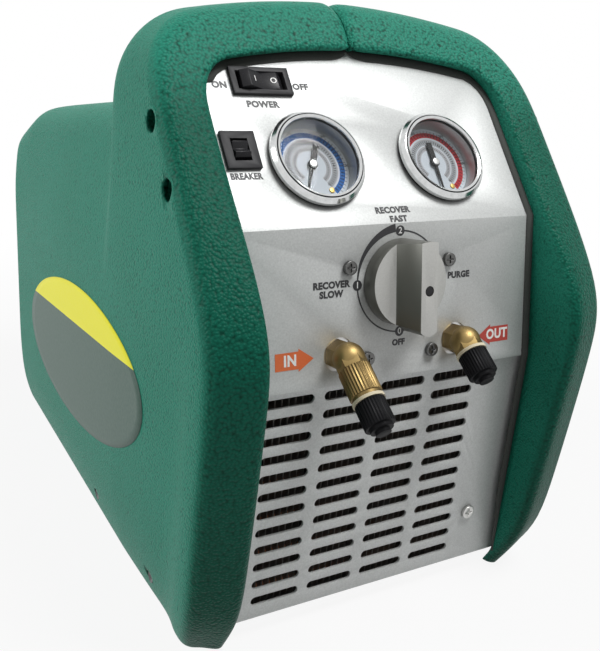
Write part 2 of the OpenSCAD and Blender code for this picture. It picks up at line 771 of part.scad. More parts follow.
function shell_sheets() =
    let (grid = [for (s = columns) sheet_row(s)])
    let (nc = len(grid))
    let (nr = len(grid[0]))
    let (normal = [for (c = [0:nc - 1]) [for (r = [0:nr - 1])
        let (along = grid[clamp(c + 1, nc)][r] - grid[clamp(c - 1, nc)][r])
        let (across = grid[c][clamp(r + 1, nr)] - grid[c][clamp(r - 1, nr)])
        let (n = unit(cross(along, across)))
        c == nc - 1 ? unit([0, n[1], n[2]]) : n]])
    [for (depth = [0, wall]) [for (c = [0:nc - 1]) [for (r = [0:nr - 1])
        let (near = max(0, 1 + grid[c][r][0] / seam_reach))
        let (fade = ease((rear_y - grid[c][r][1]) / rear_round))
        let (p = grid[c][r] - normal[c][r] * (depth + seam_round * near * near * fade))
        [min(p[0], -seat / 2), p[1], c == 0 ? grid[c][r][2] : p[2]]]]];
module shell_half() {
    sheets = shell_sheets();
    nc = len(sheets[0]);
    nr = len(sheets[0][0]);
    count = nc * nr;
    function at(layer, c, r) = layer * count + c * nr + r;
    function quad(a, b, c, d) = [[a, c, b], [a, d, c]];
    points = [for (layer = sheets) for (row = layer) for (p = row) p];
    faces = concat(
        [for (c = [0:nc - 2]) for (r = [0:nr - 2]) for (f = concat(
            quad(at(0, c, r), at(0, c + 1, r), at(0, c + 1, r + 1), at(0, c, r + 1)),
            quad(at(1, c, r), at(1, c, r + 1), at(1, c + 1, r + 1), at(1, c + 1, r)))) f],
        [for (c = [0:nc - 2]) for (f = concat(
            quad(at(0, c + 1, 0), at(0, c, 0), at(1, c, 0), at(1, c + 1, 0)),
            quad(at(0, c, nr - 1), at(0, c + 1, nr - 1), at(1, c + 1, nr - 1), at(1, c, nr - 1)))) f],
        [for (r = [0:nr - 2]) for (f = concat(
            quad(at(0, 0, r), at(0, 0, r + 1), at(1, 0, r + 1), at(1, 0, r)),
            quad(at(0, nc - 1, r + 1), at(0, nc - 1, r), at(1, nc - 1, r), at(1, nc - 1, r + 1)))) f]
    );
    polyhedron(points, faces);
}

// Screw wells of the shell: each lies behind the upper panel, level with the panel's side flange
well_us = [well_low, well_low + well_pitch];
module at_wells() {
    for (u = well_us)
        on_top(0, u) translate([0, 0, -well_depth]) rotate([0, -90, 0]) children();
}
base_screw_ys = [base_screw_front, base_screw_front + base_screw_pitch];
module at_base_screws() {
    for (y = base_screw_ys)
        translate([0, y, base_screw_z]) rotate([0, -90, 0]) children();
}
module drilled_half() {
    boss_len = half_w - 2 * wall / 3 - panel_half;
    difference() {
        union() {
            shell_half();
            at_wells() translate([0, 0, panel_half + seat]) cylinder(r = well_r + well_wall, h = boss_len);
        }
        at_wells() translate([0, 0, panel_half + wall]) cylinder(r = well_r, h = half_w);
        at_wells() cylinder(r = screw_r + seat, h = half_w);
        at_base_screws() cylinder(r = screw_r + seat, h = 2 * half_w);
        at_base_screws() translate([0, 0, half_w - base_recess])
            cylinder(r = base_head_r + 2 * seat, h = half_w);
    }
}
module left_shell() color(green) drilled_half();
module right_shell() color(green) mirror([1, 0, 0]) drilled_half();
module both_sides() {
    children();
    mirror([1, 0, 0]) children();
}

// A cross-head screw: its head stands on the XY plane and its shank hangs below
module screw(head_r, head_h, shank_r, shank_len) {
    cross_len = 1.2 * head_r;
    translate([0, 0, -shank_len]) cylinder(r = shank_r, h = shank_len);
    difference() {
        cylinder(r = head_r, h = head_h);
        for (a = [0, 90])
            rotate(a) translate([-cross_len / 2, -cross_w / 2, head_h / 2])
                cube([cross_len, cross_w, head_h]);
    }
}
module shell_screws() color(steel) both_sides() at_wells()
    translate([0, 0, panel_half + wall + seat])
        screw(well_r - well_room, well_head_h, screw_r, wall + sheet + screw_bite);

// Base tray, its screws and feet
tray_half = half_w - lower_draft - wall - tray_gap;
tray_front = lower_y + sheet + tray_back;
tray_rear = rear_y - wall - sheet - 4 * seat;
foot_x = tray_half - foot_in;
foot_ys = [tray_front + foot_front, tray_rear - foot_rear];
tray_corner = rear_round - wall + tray_gap;
tray_straight = tray_rear - tray_corner - tray_front;
module at_feet() {
    for (x = [-foot_x, foot_x]) for (y = foot_ys)
        translate([x, y, 0]) children();
}
module tray_plan() {
    translate([-tray_half, tray_front]) square([2 * tray_half, tray_straight]);
    translate([-tray_half + tray_corner, tray_front])
        square([2 * (tray_half - tray_corner), tray_straight + tray_corner]);
    for (x = [-1, 1])
        translate([x * (tray_half - tray_corner), tray_rear - tray_corner]) circle(r = tray_corner);
}
module base_tray() color(steel) difference() {
    union() {
        translate([0, 0, tray_z]) linear_extrude(tray_t) tray_plan();
        both_sides() translate([tray_half - tray_t, tray_front, tray_z])
            cube([tray_t, tray_straight, tray_lip]);
    }
    at_feet() cylinder(r = stud_r + seat, h = tray_top + tray_t);
    both_sides() at_base_screws() cylinder(r = screw_r + seat, h = 2 * half_w);
}
module base_screws() color(dark) both_sides() at_base_screws()
    translate([0, 0, half_w - base_recess + seat])
        screw(base_head_r, base_head_h, screw_r, half_w - base_recess - tray_half + tray_t + screw_bite);
module rubber_feet() color(black) at_feet() {
    cylinder(r1 = foot_r - foot_taper, r2 = foot_r, h = tray_z - seat);
    cylinder(r = stud_r, h = tray_top + tray_t);
}

// Front panel: slotted lower sheet, step, middle sheet and upper sheet with side flanges
block_screw_at = [
    [-block_screw_top[0], block_screw_top[1]], block_screw_top,
    [-block_screw_low[0], block_screw_low[1]], block_screw_low
];
module slot(len, w) {
    for (side = [-1, 1])
        translate([side * (len - w) / 2, 0]) circle(d = w);
    square([len - w, w], center = true);
}
module slots() {
    for (c = [0:slot_cols - 1]) for (r = [0:rows_fit - 1])
        translate([
            -slot_shift + (c - (slot_cols - 1) / 2) * slot_pitch_x,
            slot_z + (r - (rows_fit - 1) / 2) * slot_pitch_z
        ]) slot(slot_len, slot_w);
}
switch_box = [switch_w - 2 * frame_lip, switch_h - 2 * frame_lip];
breaker_box = [breaker_w - 2 * frame_lip, breaker_h - 2 * frame_lip];
module cut_out(box) square([box[0] + 2 * seat, box[1] + 2 * seat], center = true);

// Side view of the bent sheet as [Y, Z]: its outer face from the foot to the top edge, and back inside
panel_face = [
    [lower_y + panel_foot, panel_z], [lower_y, panel_z], [lower_y, step_z], [mid_y, step_z],
    [crease_y, crease_z], [top_point(0, top_len, 0)[1], top_point(0, top_len, 0)[2]]
];
function leg_normal(a, b) = let (d = unit(b - a)) [d[1], -d[0]];
function inner_face(path, t) = [for (i = [0:len(path) - 1])
    let (before = leg_normal(path[max(0, i - 1)], path[max(1, i)]))
    let (after = leg_normal(path[min(len(path) - 2, i)], path[min(len(path) - 1, i + 1)]))
    path[i] + t * (before + after) / (1 + before * after)];
function reversed(list) = [for (i = [len(list) - 1:-1:0]) list[i]];
module through(depth) {
    translate([0, 0, -depth]) linear_extrude(2 * depth) children();
}
module front_panel() color(silver) difference() {
    union() {
        rotate([90, 0, 90]) linear_extrude(2 * panel_half, center = true)
            polygon(concat(panel_face, reversed(inner_face(panel_face, sheet))));
        both_sides() on_top(panel_half - sheet, flange_d) translate([0, 0, -flange_d])
            cube([sheet, top_len - 2 * flange_d, flange_d - sheet / 2]);
    }
    on_lower() through(2 * sheet) {
        slots();
        translate(lower_screw) circle(r = block_screw_r + seat);
    }
    on_mid(0, 0) through(2 * sheet) {
        translate([0, knob_u]) circle(r = stem_r + run);
        for (x = [-port_x, port_x]) translate([x, port_u]) circle(r = port_hole_r);
        for (p = block_screw_at) translate(p) circle(r = block_screw_r + seat);
    }
    on_top(0, 0) through(2 * sheet) {
        for (x = [-gauge_x, gauge_x]) translate([x, gauge_u]) circle(d = case_d + 2 * seat);
        translate([-switch_x, switch_u]) cut_out(switch_box);
        translate([-breaker_x, breaker_u]) cut_out(breaker_box);
    }
    both_sides() at_wells() cylinder(r = screw_r + seat, h = 2 * half_w);
}
module lower_panel_screw() color(steel) on_lower() translate([lower_screw[0], lower_screw[1], seat])
    screw(lower_head_r, lower_head_h, block_screw_r, lower_screw_len);

// Rear panel with air slots, and the mains inlet
rear_half = half_w - rear_round - rear_rim + rear_tuck;
rear_top = top_at(rear_y - rear_round) - rear_round - rear_rim + panel_tuck / 2;
rear_face = rear_y - wall - seat;
inlet_box = [inlet_w, inlet_h];
inlet_cavity = [inlet_w - 2 * inlet_wall, inlet_h - 2 * inlet_wall];
rear_screw_at = [
    [-rear_half + rear_screw_in, rear_screw_z], [rear_half - rear_screw_in, rear_screw_z],
    [-rear_half + 2 * rear_screw_in, rear_top - rear_screw_z],
    [rear_half - 2 * rear_screw_in, rear_top - rear_screw_z]
];
module on_rear() {
    translate([0, rear_face, 0]) rotate([90, 0, 180]) children();
}
module rear_outline() {
    shoulder = rear_half - body_corner;
    translate([-rear_half, tray_z + seat]) square([2 * rear_half, rear_top - tray_z - seat - body_corner]);
    translate([-shoulder, rear_top - body_corner]) square([2 * shoulder, body_corner]);
    for (x = [-shoulder, shoulder])
        translate([x, rear_top - body_corner]) circle(r = body_corner);
}
module rear_panel() color(dark) on_rear() translate([0, 0, -sheet]) linear_extrude(sheet) difference() {
    rear_outline();
    for (side = [-1, 1]) for (r = [0:vent_rows - 1])
        translate([side * (vent_len + vent_gap) / 2, vent_z + r * vent_pitch])
            slot(vent_len + slot_w, slot_w);
    translate(inlet_at) cut_out(inlet_box);
    for (p = rear_screw_at) translate(p) circle(r = screw_r + seat);
}
module rear_screws() color(steel) on_rear() for (p = rear_screw_at)
    translate([p[0], p[1], seat]) screw(rear_head_r, rear_head_h, screw_r, rear_screw_len);
module centred_block(size, low, h) {
    translate([-size[0] / 2, -size[1] / 2, low]) cube([size[0], size[1], h]);
}
module power_inlet() color(black) on_rear() translate(inlet_at) difference() {
    union() {
        centred_block([inlet_flange_w, inlet_flange_h], seat, frame_t);
        centred_block(inlet_box, -inlet_depth, inlet_depth + frame_t / 2);
    }
    centred_block(inlet_cavity, frame_t - cavity_depth, cavity_depth + frame_t / 2);
    for (x = [-inlet_hole_x, inlet_hole_x])
        translate([x, 0, -frame_t / 2]) cylinder(r = inlet_hole_r, h = 2.5 * frame_t);
}
module inlet_pins() color(brass) on_rear() translate(inlet_at) for (i = [-1:1])
    translate([i * contact_pitch, i == 0 ? contact_rise : -contact_rise, 0])
        centred_block([contact_t, contact_w], frame_t - cavity_depth, contact_len);

// Rocker switch and breaker: a frame with a cavity, and a rocker on a cross pin
module cross_pin(r, len) {
    rotate([90, 0, 0]) cylinder(r = r, h = len, center = true);
}
module control_frame(size, box, cavity, pin_len) {
    difference() {
        union() {
            centred_block(size, seat, frame_t);
            centred_block(box, -control_depth, control_depth + frame_t / 2);
        }
        centred_block(cavity, frame_t - control_depth, control_depth + frame_t);
        translate([0, 0, -rocker_pivot]) cross_pin(rocker_pin_r + play, pin_len + 2 * seat);
    }
}
module rocker(half, width, pin_len) {
    peak = half - min(rocker_slope, half / 3);
    end_z = rocker_tip - rocker_fall;
    side_view = [
        [-half, end_z], [-peak, rocker_tip], [0, rocker_middle], [peak, rocker_tip], [half, end_z],
        [half, rocker_side_z], [half / 3, -rocker_keel], [-half / 3, -rocker_keel], [-half, rocker_side_z]
    ];
    translate([0, 0, -rocker_pivot]) rotate([0, rocker_half, 0]) {
        rotate([90, 0, 0]) linear_extrude(width, center = true) polygon(side_view);
        cross_pin(rocker_pin_r, pin_len);
    }
}
switch_cavity = [switch_w - 4 * frame_lip, switch_h - 2 * frame_lip - frame_t];
switch_pin = switch_box[1] - 2 * pin_cover;
module switch_frame() color(black) on_top(-switch_x, switch_u)
    control_frame([switch_w, switch_h], switch_box, switch_cavity, switch_pin);
module power_rocker() color(black) on_top(-switch_x, switch_u)
    rocker(switch_cavity[0] / 2 - rocker_gap, switch_cavity[1] - 2 * run, switch_pin);
breaker_cavity = [breaker_slot_h, breaker_slot_w];
breaker_pin = breaker_slot_w + frame_t;
module on_breaker() {
    on_top(-breaker_x, breaker_u) rotate(90) children();
}
module breaker_frame() color(black) on_breaker()
    control_frame([breaker_h, breaker_w], [breaker_box[1], breaker_box[0]], breaker_cavity, breaker_pin);
module breaker_rocker() color(black) on_breaker()
    rocker(breaker_cavity[0] / 2 - rocker_gap, breaker_cavity[1] - 2 * run, breaker_pin);

// Gauges: a case with a dial, a needle on its pivot, a lens and a bezel ring
cup_floor = dial_depth + cup_room;
cup_r = case_d / 2 - cup_wall;
lens_z = bezel_h - lens_in;
pivot_depth = cup_floor + pivot_len;
boss_h = cup_room - dial_t - seat;
module gauge_case() difference() {
    union() {
        difference() {
            translate([0, 0, -case_depth]) cylinder(d = case_d, h = case_depth + lens_z);
            translate([0, 0, -cup_floor]) cylinder(r = cup_r, h = case_depth);
        }
        translate([0, 0, -case_depth - gauge_stem_len])
            cylinder(r = pipe_r + gauge_stem_wall, h = gauge_stem_len + 1);
        translate([0, 0, -cup_floor - 0.5]) cylinder(r = dial_boss_r, h = boss_h + 0.5);
    }
    translate([0, 0, -pivot_depth - 1]) cylinder(r = needle_pivot + play, h = pivot_depth);
}
module gauge_dial() translate([0, 0, -dial_depth - dial_t]) difference() {
    cylinder(r = cup_r - seat, h = dial_t);
    translate([0, 0, -dial_t]) cylinder(r = needle_pivot + run, h = 3 * dial_t);
}
module gauge_needle(zero) {
    waist = (tail_half + needle_tip) / 2;
    outline = [
        [-tail_half, -needle_tail], [-tail_half, -tail_half], [-waist, 0], [-needle_tip, needle_len],
        [needle_tip, needle_len], [waist, 0], [tail_half, -tail_half], [tail_half, -needle_tail]
    ];
    translate([0, 0, -pivot_depth])
        cylinder(r = needle_pivot, h = pivot_depth - dial_depth + needle_lift + needle_t);
    translate([0, 0, needle_lift - dial_depth]) {
        cylinder(r = needle_hub_r, h = 2 * needle_t);
        translate([0, 0, needle_t / 3]) rotate(-zero) linear_extrude(needle_t) polygon(outline);
    }
}
module gauge_lens() translate([0, 0, lens_z + seat]) cylinder(d = case_d, h = lens_t);
module gauge_bezel() {
    inner = case_d / 2 + seat;
    outer = bezel_d / 2;
    lens_top = lens_z + lens_t + 2 * seat;
    rotate_extrude() polygon([
        [inner, seat], [outer - bezel_fall, seat], [outer, seat + bezel_fall],
        [outer, bezel_h - 0.8 * bezel_roll], [outer - bezel_roll / 2, bezel_h - bezel_fall],
        [outer - bezel_roll, bezel_h], [cup_r + 2 * seat, bezel_h - bezel_fall],
        [cup_r, lens_top], [inner, lens_top]
    ]);
}
module on_low_gauge() {
    on_top(-gauge_x, gauge_u) children();
}
module on_high_gauge() {
    on_top(gauge_x, gauge_u) children();
}
module low_gauge_case() color(steel) on_low_gauge() gauge_case();
module low_gauge_dial() color("white") on_low_gauge() gauge_dial();
module low_gauge_needle() color(black) on_low_gauge() gauge_needle(low_zero);
module low_gauge_lens() color("lightblue", 0.4) on_low_gauge() gauge_lens();
module low_gauge_bezel() color(silver) on_low_gauge() gauge_bezel();
module high_gauge_case() color(steel) on_high_gauge() gauge_case();
module high_gauge_dial() color("white") on_high_gauge() gauge_dial();
module high_gauge_needle() color(black) on_high_gauge() gauge_needle(high_zero);
module high_gauge_lens() color("lightblue", 0.4) on_high_gauge() gauge_lens();
module high_gauge_bezel() color(silver) on_high_gauge() gauge_bezel();

// Selector: knob with its grip bar, a plug in the bar's face and the stem into the valve block
grip_z = run + knob_disc_h;
knob_top = grip_z + grip_h;
module grip_outline() {
    circle(d = knob_d);
    translate([0, -knob_d / 2 + grip_tail_in]) circle(r = grip_tail_r);
}
module selector_knob() color(silver) on_mid(0, knob_u) difference() {
    union() {
        translate([0, 0, run]) cylinder(d = knob_d, h = knob_disc_h);
        intersection() {
            translate([0, 0, grip_z - 1]) linear_extrude(grip_h + 1) grip_outline();
            rotate([90, 0, 0]) linear_extrude(2 * knob_d, center = true) polygon([
                [-grip_foot / 2, grip_z - 1], [grip_foot / 2, grip_z - 1],
                [grip_face / 2, knob_top], [-grip_face / 2, knob_top]
            ]);
        }
    }
    cylinder(r = stem_r + seat, h = stem_in_knob + seat);
    translate([0, -plug_drop, knob_top - plug_depth]) cylinder(r = plug_r, h = 2 * plug_depth);
}
module knob_plug() color(dark) on_mid(0, knob_u)
    translate([0, -plug_drop, knob_top - plug_depth + seat])
        cylinder(r = plug_r - seat, h = plug_depth - 3 * seat);
module selector_stem() color(steel) on_mid(0, knob_u)
    translate([0, 0, -stem_depth]) cylinder(r = stem_r, h = stem_depth + stem_in_knob);

// Valve block behind the middle panel, its screws and the pressure switch
block_face = -sheet - seat;
block_back = block_face - block_d;
core_front = lower_y + sheet + core_gap;
core_mid = core_front + core_d / 2;
liquid_depth = (core_mid - tube_gap - mid_y - liquid_u * sin(mid_lean)) / cos(mid_lean);
module pipe_socket(at, z) {
    translate([at[0], at[1], z]) cylinder(r = pipe_r + seat, h = socket_depth + 1);
}
module valve_block() color(steel) on_mid(0, 0) difference() {
    translate([-block_half, block_low, block_back]) cube([2 * block_half, block_high - block_low, block_d]);
    translate([0, knob_u, -stem_depth - 1]) cylinder(r = stem_r + play, h = stem_depth);
    for (x = [-port_x, port_x])
        translate([x, port_u, block_face - tail_len - seat]) cylinder(r = port_r + seat, h = tail_len + 1);
    for (p = block_screw_at)
        translate([p[0], p[1], block_face - block_screw_len])
            cylinder(r = block_screw_r + seat, h = block_screw_len + 1);
    for (x = [-gauge_x, gauge_x]) pipe_socket([x, gauge_tube_u], block_back - 1);
    pipe_socket([-suction_x, suction_u], block_back - 1);
    translate([block_half - socket_depth, liquid_u, -liquid_depth]) rotate([0, 90, 0])
        pipe_socket([0, 0], 0);
}
module block_screws() color(dark) on_mid(0, 0) for (p = block_screw_at)
    translate([p[0], p[1], seat]) screw(block_head_r, block_head_h, block_screw_r, block_screw_len);
module blade_tabs(spread, low) {
    for (x = [-spread, spread])
        translate([x, 0, 0]) centred_block([tab_t, tab_w], low, tab_len);
}
switch_can_z = block_back - seat - switch_can_len;
module pressure_switch() color(black) on_mid(0, pressure_u) translate([0, 0, switch_can_z]) {
    cylinder(r = switch_can_r, h = switch_can_len);
    blade_tabs(switch_can_r / 3, 1 - tab_len);
}

// Ports: elbows from the block, a swivel coupler on the inlet, washers and caps
module knurled(d, h, depth) {
    linear_extrude(h) polygon([for (i = [0:2 * knurls - 1])
        let (r = d / 2 - (i % 2) * depth)
        r * [cos(180 * i / knurls), sin(180 * i / knurls)]]);
}
module on_leg(x) {
    on_mid(x, port_u) translate([0, 0, elbow_out]) rotate([elbow_bend, 0, 0]) children();
}
module elbow() {
    translate([0, 0, block_face - tail_len]) cylinder(r = port_r, h = tail_len + 2);
    translate([0, 0, block_face + seat]) rotate(30)
        cylinder(d = port_hex, h = elbow_out - block_face - seat, $fn = 6);
    translate([0, 0, elbow_out]) {
        sphere(d = port_hex + ball_over);
        rotate([elbow_bend, 0, 0]) {
            rotate(30) cylinder(d = port_hex, h = elbow_leg, $fn = 6);
            cylinder(r = port_r, h = elbow_leg + spigot_len);
        }
    }
}
coupler_z = elbow_leg + run;
in_washer_z = coupler_z + coupler_len;
module spigot_bore() {
    translate([0, 0, -1]) cylinder(r = port_r + play, h = spigot_len + 1 + run);
}
module in_elbow() color(brass) on_mid(-port_x, port_u) elbow();
module in_coupler() color(brass) on_leg(-port_x) translate([0, 0, coupler_z]) difference() {
    union() {
        knurled(coupler_d, coupler_len - coupler_collar, coupler_knurl);
        cylinder(r = coupler_d / 2 - 2 * coupler_knurl, h = coupler_len);
        cylinder(r = port_r, h = coupler_len + washer_t + spigot_len);
    }
    spigot_bore();
}
module washer() difference() {
    cylinder(d = cap_d + 2 * cap_knurl, h = washer_t);
    translate([0, 0, -washer_t]) cylinder(r = port_r + seat, h = 3 * washer_t);
}
module cap() difference() {
    union() {
        knurled(cap_d, cap_len - cap_taper, cap_knurl);
        cylinder(d1 = cap_d - 2 * cap_knurl - seat, d2 = cap_d - 2 * cap_taper, h = cap_len);
        translate([0, 0, cap_len - cap_taper / 4]) cylinder(r = cap_nub_r, h = cap_nub_h);
    }
    spigot_bore();
}
module in_washer() color("wheat") on_leg(-port_x) translate([0, 0, in_washer_z + seat]) washer();
module in_cap() color(black) on_leg(-port_x) translate([0, 0, in_washer_z + washer_t + run]) cap();
module out_elbow() color(brass) on_mid(port_x, port_u) elbow();
module out_washer() color("wheat") on_leg(port_x) translate([0, 0, elbow_leg + seat]) washer();
module out_cap() color(black) on_leg(port_x) translate([0, 0, elbow_leg + washer_t + run]) cap();

// Copper pipes: straight lengths pushed into round elbow fittings
function turn(a, b) = acos(a * b);
module pipe(points) {
    last = len(points) - 1;
    way = [for (i = [0:last - 1]) unit(points[i + 1] - points[i])];
    cut = [for (i = [0:last]) i == 0 || i == last ? 0 : bend_r * tan(turn(way[i - 1], way[i]) / 2)];
    lap = [for (i = [0:last]) i == 0 || i == last ? 0 : fitting_lap];
    for (i = [0:last - 1]) {
        length = norm(points[i + 1] - points[i]) - cut[i] - cut[i + 1] + lap[i] + lap[i + 1];
        translate(points[i] + way[i] * (cut[i] - lap[i]))
            rotate([0, acos(way[i][2]), atan2(way[i][1], way[i][0])])
                cylinder(r = pipe_r, h = length);
    }
    for (i = [1:1:last - 1]) {
        in = way[i - 1];
        side = unit(way[i] - in * (way[i] * in));
        axis = cross(in, side);
        middle = points[i] - in * cut[i] + side * bend_r;
        multmatrix([for (k = [0:2]) [-side[k], in[k], axis[k], middle[k]]])
            rotate_extrude(angle = turn(in, way[i])) translate([bend_r, 0]) circle(r = pipe_r + fitting_t);
    }
}
module gauge_tube(x) {
    stem_end = -case_depth - gauge_stem_len;
    pipe([
        top_point(x, gauge_u, stem_end - seat), top_point(x, gauge_u, stem_end - tube_lead),
        mid_point(x, gauge_tube_u, block_back - 1.5 * tube_lead),
        mid_point(x, gauge_tube_u, block_back + socket_depth - seat)
    ]);
}
module low_gauge_tube() color(copper) gauge_tube(-gauge_x);
module high_gauge_tube() color(copper) gauge_tube(gauge_x);

// Condenser: a fin pack on two columns of hairpin tube
core_z = tray_top + seat;
core_x = -slot_shift - core_w / 2;
core_end = core_x + core_w;
core_h = tubes_fit * tube_pitch;
tube_ys = [core_mid - tube_gap, core_mid + tube_gap];
function tube_z(r) = core_z + (r + 0.5) * tube_pitch;
module along_x(x) {
    translate([x, 0, 0]) rotate([90, 0, 90]) children();
}
module condenser_fins() color(dark) for (i = [0:floor(core_w / fin_pitch)])
    along_x(core_x + i * fin_pitch) linear_extrude(fin_t) difference() {
        translate([core_front, core_z]) square([core_d, core_h]);
        for (y = tube_ys) for (r = [0:tubes_fit - 1])
            translate([y, tube_z(r)]) circle(r = tube_r + seat);
    }
module hairpin(y, z, x, way) {
    translate([x, y, z]) rotate([90, 0, 0]) rotate([0, 0, way * 90])
        rotate_extrude(angle = 180) translate([tube_pitch / 2, 0]) circle(r = tube_r);
}
module condenser_tubes() color(copper) for (y = tube_ys) {
    for (r = [0:tubes_fit - 1])
        along_x(core_x - tube_out) translate([y, tube_z(r), 0])
            cylinder(r = tube_r, h = core_w + 2 * tube_out);
    for (r = [0:2:tubes_fit - 2])
        hairpin(y, tube_z(r) + tube_pitch / 2, core_x - tube_out, 1);
    for (r = [1:2:tubes_fit - 2])
        hairpin(y, tube_z(r) + tube_pitch / 2, core_end + tube_out, -1);
}

// Fan, shroud and motor on one shaft
shroud_y = core_front + core_d + shroud_gap;
fan_y = shroud_y + fan_back;
motor_y = fan_y + fan_w + motor_gap;
module along_y(y) {
    translate([0, y, shaft_z]) rotate([-90, 0, 0]) children();
}
module fan_shroud() color(black) {
    difference() {
        translate([core_x - shroud_lap, shroud_y, core_z])
            cube([core_w + 2 * shroud_lap, shroud_t, core_h + shroud_lap]);
        along_y(shroud_y - 1) cylinder(r = fan_r + fan_tip_gap, h = shroud_t + 2);
    }
    along_y(shroud_y) difference() {
        cylinder(r = fan_r + fan_tip_gap + shroud_t, h = collar_d);
        translate([0, 0, -1]) cylinder(r = fan_r + fan_tip_gap, h = collar_d + 2);
    }
}
module fan() color(dark) along_y(fan_y) difference() {
    union() {
        cylinder(r = hub_r, h = fan_w);
        intersection() {
            cylinder(r = fan_r, h = fan_w);
            for (i = [0:fan_blades - 1])
                rotate(i * 360 / fan_blades) translate([hub_r - 3, 0, fan_w / 2]) rotate([blade_turn, 0, 0])
                    translate([0, -blade_w / 2, -blade_t / 2]) cube([fan_r, blade_w, blade_t]);
        }
    }
    translate([0, 0, -1]) cylinder(r = shaft_r + seat, h = fan_w + 2);
}
case_y = motor_y + motor_len + case_gap;
module motor_can() color(black) along_y(motor_y) difference() {
    union() {
        cylinder(r = motor_r - motor_fin_h, h = motor_len);
        for (z = [0, motor_len - bell_len])
            translate([0, 0, z]) cylinder(r = motor_r, h = bell_len);
        for (i = [0:motor_fins - 1])
            rotate(i * 360 / motor_fins)
                translate([motor_r - motor_fin_h - 2, -motor_fin_t / 2, bell_len / 2])
                cube([motor_fin_h + 1.5, motor_fin_t, motor_len - bell_len]);
    }
    translate([0, 0, -1]) cylinder(r = shaft_r + play, h = motor_len + 2);
}
module motor_shaft() color(steel) along_y(fan_y - 1)
    cylinder(r = shaft_r, h = case_y - fan_y + 1 + shaft_tail);
module motor_cradle() color(steel) difference() {
    translate([-cradle_w / 2, motor_y, tray_top + seat])
        cube([cradle_w, motor_len, shaft_z - tray_top - seat - motor_r / 2]);
    along_y(motor_y - 1) cylinder(r = motor_r + seat, h = motor_len + 2);
    translate([-cradle_w, motor_y + bell_len, tray_top + cradle_t])
        cube([2 * cradle_w, motor_len - 2 * bell_len, shaft_z]);
}

// Compressor: crankcase, finned cylinder with its head, and the motor's capacitor
case_top = shaft_z + case_rise;
head_h = head_fins * head_fin_pitch + head_cap + 2;
head_y = case_y + case_len / 2;
module compressor_case() color(cast) difference() {
    union() {
        translate([-case_half, case_y, tray_top + seat]) cube([2 * case_half, case_len, case_foot]);
        translate([-case_half + case_foot / 2, case_y, tray_top + seat])
            cube([2 * case_half - case_foot, case_len, case_top - tray_top - seat]);
        along_y(case_y) cylinder(r = case_half - 2, h = case_len);
    }
    along_y(case_y - 1) cylinder(r = shaft_r + play, h = shaft_tail + 4);
}
module cylinder_head() color(cast) translate([0, head_y, case_top + seat]) {
    square_half = [2 * head_half, 2 * head_half];
    cylinder(r = head_half - 6, h = head_h);
    for (i = [0:head_fins - 1])
        centred_block(square_half, 3 + i * head_fin_pitch, head_fin_t);
    difference() {
        centred_block(square_half, head_h - head_cap, head_cap);
        for (x = [-suction_x, suction_x])
            translate([x, -head_half - 1, head_h - head_cap / 2]) rotate([-90, 0, 0])
                pipe_socket([0, 0], 0);
    }
}
head_port_z = case_top + seat + head_h - head_cap / 2;
head_front = head_y - head_half + socket_depth - seat;
pipe_side = core_end + tube_out + pipe_out;
tube_end = core_end + tube_out + seat;
last_tube_z = tube_z(tubes_fit - 1);
module suction_pipe() color(copper) pipe([
    mid_point(-suction_x, suction_u, block_back + socket_depth - seat),
    mid_point(-suction_x, suction_u, block_back - 1.75 * tube_lead),
    [-suction_x, motor_y, head_port_z], [-suction_x, head_front, head_port_z]
]);
module discharge_pipe() color(copper) pipe([
    [suction_x, head_front, head_port_z], [suction_x, motor_y + pipe_run, head_port_z],
    [pipe_side, motor_y + pipe_run - 10, head_port_z], [pipe_side, tube_ys[1], last_tube_z],
    [tube_end, tube_ys[1], last_tube_z]
]);
module liquid_pipe() color(copper) pipe([
    [tube_end, tube_ys[0], last_tube_z], [pipe_side, tube_ys[0], last_tube_z],
    mid_point(pipe_side, liquid_u, -liquid_depth),
    mid_point(block_half - socket_depth + seat, liquid_u, -liquid_depth)
]);
capacitor_x = tray_half - tray_t - capacitor_room - capacitor_r;
module run_capacitor() color(zinc) translate([capacitor_x, motor_y + capacitor_r, tray_top + seat]) {
    cylinder(r = capacitor_r, h = capacitor_h);
    blade_tabs(capacitor_r / 3, capacitor_h - 1);
}

left_shell();
right_shell();
shell_screws();
base_tray();
base_screws();
rubber_feet();
front_panel();
lower_panel_screw();
rear_panel();
rear_screws();
power_inlet();
inlet_pins();
switch_frame();
power_rocker();
breaker_frame();
breaker_rocker();
low_gauge_case();
low_gauge_dial();
low_gauge_needle();
low_gauge_lens();
low_gauge_bezel();
high_gauge_case();
high_gauge_dial();
high_gauge_needle();
high_gauge_lens();
high_gauge_bezel();
selector_knob();
knob_plug();
selector_stem();
valve_block();
block_screws();
pressure_switch();
in_elbow();
in_coupler();
in_washer();
in_cap();
out_elbow();
out_washer();
out_cap();
low_gauge_tube();
high_gauge_tube();
suction_pipe();
discharge_pipe();
liquid_pipe();
condenser_fins();
condenser_tubes();
fan_shroud();
fan();
motor_can();
motor_shaft();
motor_cradle();
compressor_case();
cylinder_head();
run_capacitor();
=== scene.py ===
import bmesh
import bpy
import json
import math
from mathutils import Matrix, Vector
from mathutils.bvhtree import BVHTree


